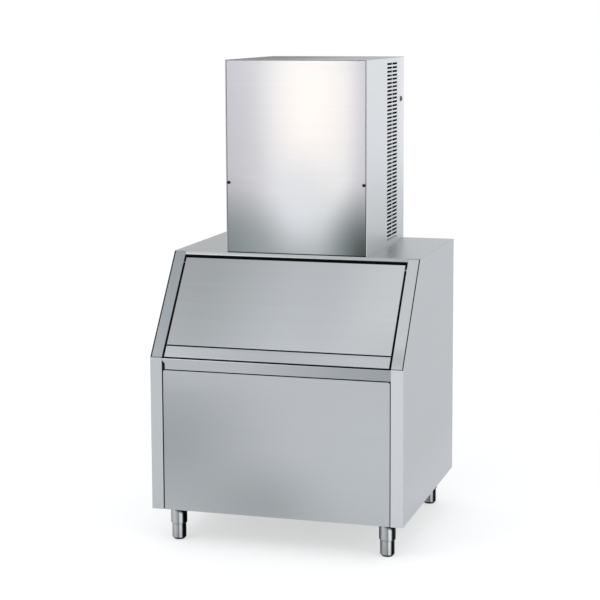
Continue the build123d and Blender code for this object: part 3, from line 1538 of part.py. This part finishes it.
discharge_z = shell_bottom + compressor_shell * discharge_share
with BuildPart() as refrigerant_lines:
    tube([
        (compressor_x, compressor_y + compressor_radius + fit_gap, discharge_z),
        (compressor_x, hot_gas_y, discharge_z),
        (side_x, hot_gas_y, discharge_z),
        (side_x, hot_gas_y, tube_high),
        (side_x, condenser_y, tube_high),
        (condenser_right + fit_gap, condenser_y, tube_high),
    ], line_radius, line_bend)
    tube([
        (condenser_right + fit_gap, condenser_y, tube_low),
        (side_x, condenser_y, tube_low),
        (side_x, condenser_y, drier_z),
        (side_x, drier_y, drier_z),
        (drier_right + fit_gap, drier_y, drier_z),
    ], line_radius, line_bend)
    tube([
        (drier_left - fit_gap, drier_y, drier_z),
        (line_x, drier_y, drier_z),
        (line_x, drier_y, coil_low),
        (line_x, coil_y, coil_low),
        (coil_end + fit_gap, coil_y, coil_low),
    ], line_radius, line_bend)
    tube([
        (coil_end + fit_gap, coil_y, coil_high),
        (line_x, coil_y, coil_high),
        (line_x, coil_y, shell_top + 2 * drier_radius),
        (compressor_x, coil_y, shell_top + 2 * drier_radius),
        (compressor_x, coil_y, shell_top + fit_gap),
    ], line_radius, line_bend)
    tube([
        (side_x - valve_half - fit_gap, hot_gas_y, hot_gas_z),
        (line_x, hot_gas_y, hot_gas_z),
        (line_x, hot_gas_y, coil_low + line_radius + fit_gap),
    ], line_radius, line_bend)
refrigerant_lines.part.label = "refrigerant_lines"
export_step(refrigerant_lines.part, "parts/refrigerant_lines.step")

# Control box on the bulkhead, behind the front panel
control_left = bulkhead_x + sheet
control_width = dry_width - control_side_room
control_front = bulkhead_front + control_margin
control_top = bulkhead_top - control_margin
with BuildPart() as control_box:
    block((control_left, control_left + control_width),
          (control_front, control_front + control_depth),
          (control_top - control_height, control_top))
    fillet(control_box.edges().filter_by(Axis.Z), fold)
control_box.part.label = "control_box"
export_step(control_box.part, "parts/control_box.step")

# Rocker switch in the right side
bezel_x = head_half + switch_bezel
pocket_length = switch_length - 4 * switch_wall
pocket_width = switch_width - 4 * switch_wall
with BuildPart() as switch_body:
    with BuildSketch(side_plane(head_half)):
        with Locations((switch_y, switch_z)):
            Rectangle(switch_length, switch_width)
    extrude(amount=switch_bezel)
    fillet(switch_body.faces().sort_by(Axis.X)[-1].edges(), switch_bezel / 2)
    with BuildSketch(side_plane(head_half)):
        with Locations((switch_y, switch_z)):
            Rectangle(switch_length - 2 * switch_wall - 2 * fit_gap,
                      switch_width - 2 * switch_wall - 2 * fit_gap)
    extrude(amount=-switch_body_depth)
    with BuildSketch(side_plane(bezel_x)):
        with Locations((switch_y, switch_z)):
            Rectangle(pocket_length, pocket_width)
    extrude(amount=-switch_body_depth / 2, mode=Mode.SUBTRACT)
switch_body.part.label = "switch_body"
export_step(switch_body.part, "parts/switch_body.step")

rocker_half = pocket_length / 2 - 2 * rocker_gap
rocker_wide = pocket_width - 2 * rocker_gap
tilt = radians(rocker_tilt)
rocker_plane = Plane(
    origin=(bezel_x, switch_y, switch_z + rocker_wide / 2),
    x_dir=(sin(tilt), cos(tilt), 0),
    z_dir=(0, 0, -1),
)
with BuildPart() as rocker:
    with BuildSketch(rocker_plane):
        with BuildLine():
            foot_half = rocker_half - 2 * rocker_rise
            Polyline(
                (-foot_half, -2 * rocker_rise),
                (foot_half, -2 * rocker_rise),
                (rocker_half, 0),
                (rocker_half, rocker_rise),
                (0, rocker_rise / 2),
                (-rocker_half, rocker_rise),
                (-rocker_half, 0),
                close=True,
            )
        make_face()
    extrude(amount=rocker_wide)
rocker.part.label = "rocker"
export_step(rocker.part, "parts/rocker.step")

# Cable gland in the rear panel
with BuildPart() as cable_gland:
    with BuildSketch(front_plane(rear_inside + sheet)):
        with Locations((gland_x, gland_z)):
            RegularPolygon(gland_flats, 6)
    extrude(amount=-gland_nut)
    with BuildSketch(front_plane(rear_inside + sheet)):
        with Locations((gland_x, gland_z)):
            Circle(gland_radius)
    extrude(amount=-gland_reach)
    with BuildSketch(front_plane(rear_inside + sheet)):
        with Locations((gland_x, gland_z)):
            Circle(gland_radius)
    extrude(amount=sheet + 2 * gland_nut)
    with BuildSketch(front_plane(rear_inside)):
        with Locations((gland_x, gland_z)):
            RegularPolygon(gland_flats, 6)
    extrude(amount=gland_nut)
    with BuildSketch(front_plane(rear_inside)):
        with Locations((gland_x, gland_z)):
            Circle(gland_bore)
    extrude(amount=2 * gland_reach, both=True, mode=Mode.SUBTRACT)
cable_gland.part.label = "cable_gland"
export_step(cable_gland.part, "parts/cable_gland.step")
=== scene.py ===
import json
import math

import bmesh
import bpy
from mathutils import Matrix, Vector


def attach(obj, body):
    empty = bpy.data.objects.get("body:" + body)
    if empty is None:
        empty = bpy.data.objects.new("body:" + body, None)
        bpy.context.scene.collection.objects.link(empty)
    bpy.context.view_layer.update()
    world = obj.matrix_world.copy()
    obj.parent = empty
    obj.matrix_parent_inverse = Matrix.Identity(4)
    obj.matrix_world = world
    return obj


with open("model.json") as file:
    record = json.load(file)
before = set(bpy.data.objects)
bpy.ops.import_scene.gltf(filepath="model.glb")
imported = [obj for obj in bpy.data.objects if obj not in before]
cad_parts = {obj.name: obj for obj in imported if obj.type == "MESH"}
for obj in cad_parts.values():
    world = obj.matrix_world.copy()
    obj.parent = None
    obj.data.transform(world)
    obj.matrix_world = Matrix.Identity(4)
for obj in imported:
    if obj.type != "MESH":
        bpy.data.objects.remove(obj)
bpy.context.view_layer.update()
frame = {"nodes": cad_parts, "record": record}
nodes = frame["nodes"]
scene = bpy.context.scene

# Sizes repeated from the model, in metres
BIN_HALF = 0.471
FRONT = -0.449
REAR = 0.421
BIN_TOP = 1.048
CORNER = 0.693
LEG = 0.129
SLANT_TOP = -0.179
HEAD_HALF = 0.269
HEAD_FRONT = -0.169
HEAD_TOP = 1.760
LEG_X = 0.396
LEG_Y = 0.355
LEG_MIDDLE = -0.014


# Camera at the photograph's viewing angle

def make_camera():
    yaw, pitch, roll = math.radians(16.436), math.radians(7.312), math.radians(-0.249)
    forward = Vector((-math.sin(yaw) * math.cos(pitch), math.cos(yaw) * math.cos(pitch),
                      -math.sin(pitch)))
    level = Vector((math.cos(yaw), math.sin(yaw), 0))
    upward = level.cross(forward)
    right = level * math.cos(roll) + upward * math.sin(roll)
    up = upward * math.cos(roll) - level * math.sin(roll)
    data = bpy.data.cameras.new("camera")
    data.sensor_width = 36
    data.lens = 103.76
    data.shift_y = -0.10
    data.clip_end = 50
    camera = bpy.data.objects.new("camera", data)
    scene.collection.objects.link(camera)
    turn = Matrix((right, up, -forward)).transposed().to_4x4()
    camera.matrix_world = Matrix.Translation((1.7980, -6.2105, 1.9100)) @ turn
    scene.camera = camera


# Node helpers

def hex_colour(text):
    """linear colour of an sRGB hex code"""
    def line(v):
        v /= 255
        return v / 12.92 if v <= 0.04045 else ((v + 0.055) / 1.055) ** 2.4
    return tuple(line(int(text[i:i + 2], 16)) for i in (0, 2, 4)) + (1.0,)


class Paint:
    """A material's node tree, built up layer by layer over a base colour."""

    def __init__(self, name, metallic, roughness, specular=0.5):
        self.material = bpy.data.materials.new(name)
        self.material.use_nodes = True
        self.tree = self.material.node_tree
        self.shader = self.tree.nodes["Principled BSDF"]
        self.shader.inputs["Metallic"].default_value = metallic
        self.shader.inputs["Roughness"].default_value = roughness
        self.shader.inputs["Specular IOR Level"].default_value = specular
        self.place = self.node("ShaderNodeTexCoord").outputs["Object"]
        self.colour = None

    def node(self, kind, **settings):
        made = self.tree.nodes.new(kind)
        for key, value in settings.items():
            setattr(made, key, value)
        return made

    def link(self, source, target):
        self.tree.links.new(source, target)

    def math(self, operation, a, b=0.0, clamp=False):
        made = self.node("ShaderNodeMath", operation=operation, use_clamp=clamp)
        for socket, value in zip(made.inputs, (a, b)):
            if isinstance(value, bpy.types.NodeSocket):
                self.link(value, socket)
            else:
                socket.default_value = value
        return made.outputs[0]

    def vector(self, operation, a, b):
        made = self.node("ShaderNodeVectorMath", operation=operation)
        self.link(a, made.inputs[0])
        made.inputs[1].default_value = b
        return made.outputs["Value"] if operation == "LENGTH" else made.outputs["Vector"]

    def mix(self, factor, a, b, blend="MIX"):
        made = self.node("ShaderNodeMix", data_type="RGBA", blend_type=blend)
        for socket, value in ((made.inputs[0], factor), (made.inputs[6], a), (made.inputs[7], b)):
            if isinstance(value, bpy.types.NodeSocket):
                self.link(value, socket)
            else:
                socket.default_value = value
        return made.outputs[2]

    def noise(self, scale, detail=2.0, rough=0.5, stretch=(1, 1, 1), source=None):
        spread = self.node("ShaderNodeMapping")
        spread.inputs["Scale"].default_value = stretch
        self.link(source or self.place, spread.inputs["Vector"])
        made = self.node("ShaderNodeTexNoise")
        made.inputs["Scale"].default_value = scale
        made.inputs["Detail"].default_value = detail
        made.inputs["Roughness"].default_value = rough
        self.link(spread.outputs[0], made.inputs["Vector"])
        return made.outputs["Fac"]

    def span(self, value, low, high, to_low=0.0, to_high=1.0, soft=True):
        made = self.node("ShaderNodeMapRange", clamp=True)
        made.interpolation_type = "SMOOTHSTEP" if soft else "LINEAR"
        self.link(value, made.inputs["Value"])
        made.inputs["From Min"].default_value = low
        made.inputs["From Max"].default_value = high
        made.inputs["To Min"].default_value = to_low
        made.inputs["To Max"].default_value = to_high
        return made.outputs["Result"]

    def axis(self, number, source=None):
        made = self.node("ShaderNodeSeparateXYZ")
        self.link(source or self.place, made.inputs[0])
        return made.outputs[number]

    def painted_facing_light(self, front, side, top):
        """base colour painted with light and shade by the way a face points: front or rear, side, top or
        bottom
        """
        normal = self.node("ShaderNodeTexCoord").outputs["Normal"]
        across = self.axis(0, normal)
        up = self.axis(2, normal)
        colour = self.mix(self.math("MULTIPLY", across, across), hex_colour(front), hex_colour(side))
        self.colour = self.mix(self.math("MULTIPLY", up, up), colour, hex_colour(top))

    def pool(self, centre, radii, colour, strength=1.0, blend="MIX"):
        """soft pool of painted light round a point: a painted highlight where the tone is paler, painted
        shade where it is darker
        """
        shifted = self.vector("SUBTRACT", self.place, centre)
        scaled = self.vector("DIVIDE", shifted, radii)
        away = self.node("ShaderNodeVectorMath", operation="LENGTH")
        self.link(scaled, away.inputs[0])
        amount = self.span(away.outputs["Value"], 0.0, 1.0, strength, 0.0)
        self.colour = self.mix(amount, self.colour, hex_colour(colour), blend)

    def painted_light_sweep(self, number, low, high, colour, strength=1.0):
        """painted light and shade that grows along an axis from low to high"""
        amount = self.span(self.axis(number), low, high, 0.0, strength)
        self.colour = self.mix(amount, self.colour, hex_colour(colour))

    def grain(self, stretch, amount, bump):
        """fine parallel brushing: streaks in tone, gloss and relief"""
        fine = self.noise(900, 3.0, 0.6, stretch)
        broad = self.noise(90, 4.0, 0.6, stretch)
        both = self.math("ADD", self.math("MULTIPLY", fine, 0.6), self.math("MULTIPLY", broad, 0.4))
        tone = self.span(both, 0.3, 0.7, 1 - amount, 1 + amount, soft=False)
        shade = self.node("ShaderNodeCombineXYZ")
        for socket in shade.inputs:
            self.link(tone, socket)
        self.colour = self.mix(1.0, self.colour, shade.outputs[0], "MULTIPLY")
        rough = self.shader.inputs["Roughness"].default_value
        self.link(self.span(both, 0.3, 0.7, rough - 0.06, rough + 0.06, soft=False),
                  self.shader.inputs["Roughness"])
        relief = self.node("ShaderNodeBump")
        relief.inputs["Strength"].default_value = bump
        relief.inputs["Distance"].default_value = 0.0002
        self.link(fine, relief.inputs["Height"])
        self.link(relief.outputs[0], self.shader.inputs["Normal"])

    def done(self):
        if isinstance(self.colour, bpy.types.NodeSocket):
            self.link(self.colour, self.shader.inputs["Base Color"])
        return self.material


def wear(name, metallic, roughness, light, dark, scale=40, bump=0.1, stretch=(1, 1, 1), specular=0.5):
    """material whose tone, gloss and relief vary with a noise at its own scale"""
    paint = Paint(name, metallic, roughness, specular)
    patch = paint.noise(scale, 5.0, 0.6, stretch)
    paint.colour = paint.mix(paint.span(patch, 0.3, 0.7), hex_colour(dark), hex_colour(light))
    paint.link(paint.span(patch, 0.3, 0.7, roughness + 0.06, roughness - 0.06),
               paint.shader.inputs["Roughness"])
    fine = paint.noise(scale * 12, 2.0, 0.5, stretch)
    relief = paint.node("ShaderNodeBump")
    relief.inputs["Strength"].default_value = bump
    relief.inputs["Distance"].default_value = 0.0003
    paint.link(fine, relief.inputs["Height"])
    paint.link(relief.outputs[0], paint.shader.inputs["Normal"])
    return paint.done()


# Stainless panels, with painted reflections, highlights and shade

def steel(name, front, side, top, painted_light_pools=(), painted_light_sweeps=(), edge=1.0, level=(0.004, 0.004, 1.0)):
    paint = Paint(name, 1.0, 0.34)
    paint.shader.inputs["Specular Tint"].default_value = (edge, edge, edge, 1)
    # the face tones, sweeps and pools paint reflections, highlights and shade into the base colour
    paint.painted_facing_light(front, side, top)
    for number, low, high, colour, strength in painted_light_sweeps:
        paint.painted_light_sweep(number, low, high, colour, strength)
    for centre, radii, colour, strength in painted_light_pools:
        paint.pool(centre, radii, colour, strength)
    paint.grain(level, 0.025, 0.04)
    return paint.done()


def steel_panels():
    # every tone below is painted light: the head front's pale top pool is a painted highlight and its
    # dark lower corners painted shade, the darker tops and the gradients across the lid and panels are
    # painted reflections, and the darker left post and left side are shaded copies of the right
    return {
        "head_front_panel": steel(
            "head_front_steel", "C6C4CA", "B8BABC", "C8CACC",
            painted_light_sweeps=[(0, -0.27, 0.02, "E6E6E8", 1.0), (0, 0.16, 0.27, "CFCDD3", 1.0),
                    (2, 1.34, 1.06, "A6ACAE", 0.9)],
            painted_light_pools=[((0.06, HEAD_FRONT, 1.58), (0.24, 1, 0.50), "FFF8F3", 1.0),
                   ((0.02, HEAD_FRONT, 1.24), (0.20, 1, 0.26), "E2E4E8", 0.9),
                   ((-0.34, HEAD_FRONT, 1.06), (0.36, 1, 0.32), "7F8787", 0.95),
                   ((0.27, HEAD_FRONT, 1.03), (0.20, 1, 0.34), "46524F", 1.0)],
            level=(0.004, 1.0, 1.0)),
        "head_right_side": steel(
            "head_side_steel", "B4B7BA", "DADDE1", "C8CACC",
            painted_light_sweeps=[(1, 0.28, 0.42, "EAECF0", 0.8), (2, 1.45, 1.05, "C8CCCE", 0.9)],
            level=(1.0, 0.004, 1.0)),
        "head_left_side": steel(
            "head_left_steel", "B4B7BA", "D4D7DB", "C8CACC",
            painted_light_sweeps=[(2, 1.45, 1.05, "C2C6C9", 0.9)], level=(1.0, 0.004, 1.0)),
        "head_top_panel": steel(
            "head_top_steel", "B0B3B6", "C4C7CA", "5E6468",
            painted_light_sweeps=[(0, -0.2, 0.26, "BFC1C4", 1.0)], edge=0.6, level=(0.004, 1, 1)),
        "bin_top_panel": steel(
            "bin_top_steel", "C6CACD", "BCBFC2", "94989B",
            painted_light_sweeps=[(0, -0.2, 0.45, "A8ACAF", 1.0)], level=(0.004, 1, 1)),
        "lid_skin": steel(
            "lid_steel", "969A9D", "9A9EA1", "989C9F",
            painted_light_sweeps=[(0, -0.36, 0.10, "B0B4B8", 1.0), (0, 0.1, 0.42, "C4C7CA", 0.8)],
            painted_light_pools=[((0.42, -0.40, 0.70), (0.3, 0.3, 0.2), "B2B6B9", 0.8)],
            level=(0.004, 1, 1)),
        "lid_rail": steel(
            "lid_rail_steel", "A4A8AC", "8A8E91", "A0A4A8",
            painted_light_sweeps=[(0, -0.1, 0.4, "B4B7BB", 1.0)], level=(0.004, 1, 1)),
        "sill_rail": steel(
            "sill_steel", "BABDC1", "8A8E91", "D4D8DA",
            painted_light_sweeps=[(0, -0.2, 0.4, "A2A6AA", 1.0)], level=(0.004, 1, 1)),
        "bin_front_panel": steel(
            "front_steel", "BEC1C4", "9A9EA1", "A0A4A7",
            painted_light_pools=[((-0.42, FRONT, 0.40), (0.55, 1, 0.42), "A1A5A8", 0.9),
                   ((-0.05, FRONT, 0.18), (0.40, 1, 0.22), "A2A7A9", 0.8),
                   ((0.42, FRONT, 0.30), (0.50, 1, 0.50), "C2C6C9", 0.7),
                   ((-0.35, FRONT, 0.66), (0.35, 1, 0.12), "BCC0C3", 0.6)],
            level=(0.004, 1, 1)),
        "bin_right_side": steel(
            "bin_right_steel", "D4D6D9", "C8CBCE", "B8BBBE",
            painted_light_sweeps=[(2, 0.40, 0.13, "D4D6DA", 0.9)], level=(1, 0.004, 1)),
        "bin_left_side": steel(
            "bin_left_steel", "C2C6C9", "C3C6C9", "B8BBBE", level=(1, 0.004, 1)),
        "left_slant_post": steel("left_post_steel", "90969A", "A0A3A6", "90969A", level=(1, 1, 0.004)),
        "right_slant_post": steel(
            "right_post_steel", "BCBFC3", "A0A3A6", "BCC0C3",
            painted_light_pools=[((0.43, -0.36, 0.72), (0.2, 0.2, 0.06), "A2A6A9", 0.8)], level=(1, 1, 0.004)),
    }


def chrome():
    """polished tube: bands of light and dark round each leg's own axis"""
    paint = Paint("bright_chrome", 1.0, 0.12)
    local = []
    for number, middle, reach in ((0, 0.0, LEG_X), (1, LEG_MIDDLE, LEG_Y)):
        centred = paint.math("SUBTRACT", paint.axis(number), middle)
        local.append(paint.math("SUBTRACT", centred,
                                paint.math("MULTIPLY", paint.math("SIGN", centred), reach)))
    angle = paint.math("ARCTAN2", local[1], local[0])
    turn = paint.math("FRACT", paint.math("ADD", paint.math("DIVIDE", angle, 2 * math.pi), 1.0))
    ramp = paint.node("ShaderNodeValToRGB")
    paint.link(turn, ramp.inputs[0])
    stops = ((0.0, "08090A"), (0.05, "101213"), (0.09, "B9BDBF"), (0.20, "E3E5E6"),
             (0.33, "8D9294"), (0.45, "C9CCCE"), (0.545, "16191B"), (0.595, "2A2E30"),
             (0.635, "AEB2B4"), (0.70, "CACED0"), (0.765, "A9ADAF"), (0.79, "7E8385"),
             (0.815, "E6E8E9"), (0.855, "F0F1F2"), (0.878, "4A5254"), (0.90, "08090A"))
    elements = ramp.color_ramp.elements
    for place, (position, colour) in enumerate(stops):
        stop = elements[place] if place < 2 else elements.new(position)
        stop.position = position
        stop.color = hex_colour(colour)
    paint.colour = ramp.outputs[0]
    up = paint.axis(2)
    paint.colour = paint.mix(paint.span(up, 0.0075, 0.0085), hex_colour("0B0C0D"), paint.colour)
    # painted shadow of the bin base over the top of each leg, its lower edge slanting across the tube
    shade = paint.math("ADD", up, paint.math("MULTIPLY", local[0], 0.5))
    paint.colour = paint.mix(paint.span(shade, 0.105, 0.118), paint.colour, hex_colour("121415"))
    smear = paint.noise(60, 3.0, 0.6, (1, 1, 0.3))
    paint.link(paint.span(smear, 0.3, 0.7, 0.08, 0.18), paint.shader.inputs["Roughness"])
    return paint.done()


def dress():
    """a material for every node of the model"""
    by_node = steel_panels()
    by_slot = {
        "stainless_panel": None,
        "galvanised_sheet": wear("galvanised", 1.0, 0.46, "A9ADB0", "8D9295", 55, 0.05),
        "bright_chrome": chrome(),
        "black_plastic": wear("black_plastic", 0.0, 0.55, "0C0D10", "070809", 30, 0.2, specular=0.25),
        "white_plastic": wear("white_plastic", 0.0, 0.42, "E4E8EA", "D6DBDE", 18, 0.12),
        "curtain_plastic": wear("curtain_plastic", 0.0, 0.25, "C9D2D6", "B9C4C9", 22, 0.05),
        "foam": wear("foam", 0.0, 0.85, "141519", "0B0C0F", 160, 0.5, specular=0.2),
        "rubber": wear("rubber", 0.0, 0.7, "141517", "0C0D0E", 60, 0.3, specular=0.3),
        "steel_pin": wear("steel_pin", 1.0, 0.3, "C2C4C6", "A6A9AB", 80, 0.05, (1, 1, 8)),
        "black_screw": wear("black_screw", 0.6, 0.4, "17181A", "0B0C0D", 90, 0.1),
        "black_switch": wear("black_switch", 0.0, 0.3, "1B1620", "120E16", 60, 0.1),
        "tinned_plate": wear("tinned_plate", 1.0, 0.38, "C9C7C0", "AEACA4", 70, 0.1),
        "copper": wear("copper", 1.0, 0.33, "D2875F", "A8603C", 45, 0.08),
        "dark_insulation": wear("dark_insulation", 0.0, 0.8, "1A1B1E", "101114", 120, 0.4, specular=0.2),
        "brass": wear("brass", 1.0, 0.32, "CFAE62", "AC8B45", 50, 0.08),
        "black_enamel": wear("black_enamel", 0.0, 0.28, "16171A", "0C0D0F", 35, 0.06),
        "aluminium": wear("aluminium", 1.0, 0.36, "C9CCCF", "ABAFB3", 65, 0.06),
    }
    slot_of = {entry["node"]: entry["material_slot"] for entry in frame["record"]["subparts"]}
    for name, item in nodes.items():
        material = by_node.get(name) or by_slot[slot_of[name]]
        if name == "refrigerant_lines":
            material = by_slot["dark_insulation"]
        item.data.materials.clear()
        item.data.materials.append(material)
    return by_slot


# Screws of the rear panels, with domed heads

def screw_mesh(radius, height):
    bm = bmesh.new()
    rings = []
    for share, lift in ((1.0, 0.0), (1.0, 0.35), (0.82, 0.75), (0.5, 0.96), (0.0, 1.0)):
        if share:
            ring = [bm.verts.new((radius * share * math.cos(a), -height * lift,
                                  radius * share * math.sin(a)))
                    for a in (2 * math.pi * i / 24 for i in range(24))]
        else:
            ring = [bm.verts.new((0, -height * lift, 0))]
        rings.append(ring)
    for lower, upper in zip(rings, rings[1:]):
        for i in range(24):
            if len(upper) == 1:
                bm.faces.new((lower[i], lower[(i + 1) % 24], upper[0]))
            else:
                bm.faces.new((lower[i], lower[(i + 1) % 24], upper[(i + 1) % 24], upper[i]))
    bm.faces.new(list(reversed(rings[0])))
    bmesh.ops.recalc_face_normals(bm, faces=bm.faces)
    mesh = bpy.data.meshes.new("screw")
    bm.to_mesh(mesh)
    bm.free()
    mesh.polygons.foreach_set("use_smooth", [True] * len(mesh.polygons))
    return mesh


def rear_screws(material):
    """pan-head screws along the edges of both rear panels"""
    mesh = screw_mesh(0.0042, 0.0022)
    mesh.materials.append(material)
    places = []
    for x in (-0.262, 0.262):
        for z in (1.10, 1.32, 1.54, 1.73):
            places.append((x, REAR, z))
    for x in (-0.463, 0.463):
        for z in (0.20, 0.45, 0.70, 0.98):
            places.append((x, REAR, z))
    for number, place in enumerate(places):
        screw = bpy.data.objects.new(f"rear_screw_{number + 1}", mesh)
        screw.matrix_world = Matrix.Translation(place) @ Matrix.Rotation(math.pi, 4, "Z")
        scene.collection.objects.link(screw)
        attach(screw, "machine")


# Studio

def make_floor():
    mesh = bpy.data.meshes.new("floor")
    bm = bmesh.new()
    corners = [bm.verts.new(c) for c in ((-9, -9, 0), (9, -9, 0), (9, 14, 0), (-9, 14, 0))]
    bm.faces.new(corners)
    bm.to_mesh(mesh)
    bm.free()
    floor = bpy.data.objects.new("floor", mesh)
    scene.collection.objects.link(floor)
    paint = Paint("floor", 0.0, 0.9, 0.2)
    patch = paint.noise(3, 2.0)
    lit = paint.mix(patch, (0.90, 0.90, 0.90, 1), (0.93, 0.93, 0.93, 1))
    seen = paint.node("ShaderNodeLightPath")
    paint.colour = paint.mix(seen.outputs["Is Camera Ray"], lit, (0.52, 0.52, 0.52, 1))
    paint.shader.inputs["Emission Color"].default_value = (1, 1, 1, 1)
    paint.link(paint.math("MULTIPLY", seen.outputs["Is Camera Ray"], 0.56),
               paint.shader.inputs["Emission Strength"])
    floor.data.materials.append(paint.done())


def make_world():
    world = bpy.data.worlds.new("world")
    scene.world = world
    world.use_nodes = True
    tree = world.node_tree
    tree.nodes.clear()
    out = tree.nodes.new("ShaderNodeOutputWorld")
    soft = tree.nodes.new("ShaderNodeBackground")
    soft.inputs["Color"].default_value = (0.96, 0.98, 1.0, 1)
    soft.inputs["Strength"].default_value = 0.85
    white = tree.nodes.new("ShaderNodeBackground")
    white.inputs["Color"].default_value = (1, 1, 1, 1)
    white.inputs["Strength"].default_value = 1.0
    path = tree.nodes.new("ShaderNodeLightPath")
    either = tree.nodes.new("ShaderNodeMath")
    either.operation = "MAXIMUM"
    tree.links.new(path.outputs["Is Camera Ray"], either.inputs[0])
    tree.links.new(path.outputs["Is Glossy Ray"], either.inputs[1])
    through = tree.nodes.new("ShaderNodeMath")
    through.operation = "MAXIMUM"
    tree.links.new(either.outputs[0], through.inputs[0])
    tree.links.new(path.outputs["Is Transmission Ray"], through.inputs[1])
    mix = tree.nodes.new("ShaderNodeMixShader")
    tree.links.new(through.outputs[0], mix.inputs[0])
    tree.links.new(soft.outputs[0], mix.inputs[1])
    tree.links.new(white.outputs[0], mix.inputs[2])
    tree.links.new(mix.outputs[0], out.inputs["Surface"])


def area_light(name, place, target, size, power, colour=(1, 1, 1)):
    data = bpy.data.lights.new(name, "AREA")
    data.shape = "RECTANGLE"
    data.size, data.size_y = size
    data.energy = power
    data.color = colour
    lamp = bpy.data.objects.new(name, data)
    lamp.location = place
    lamp.rotation_euler = (Vector(target) - Vector(place)).to_track_quat("-Z", "Y").to_euler()
    lamp.visible_camera = False
    scene.collection.objects.link(lamp)


make_camera()
slots = dress()
rear_screws(slots["steel_pin"])
make_floor()
make_world()
area_light("key", (-2.4, -3.6, 3.6), (0, 0, 0.9), (2.0, 2.0), 40)
area_light("fill", (3.4, -2.2, 2.4), (0, 0, 0.9), (2.2, 2.2), 25)
scene.view_settings.view_transform = "Standard"
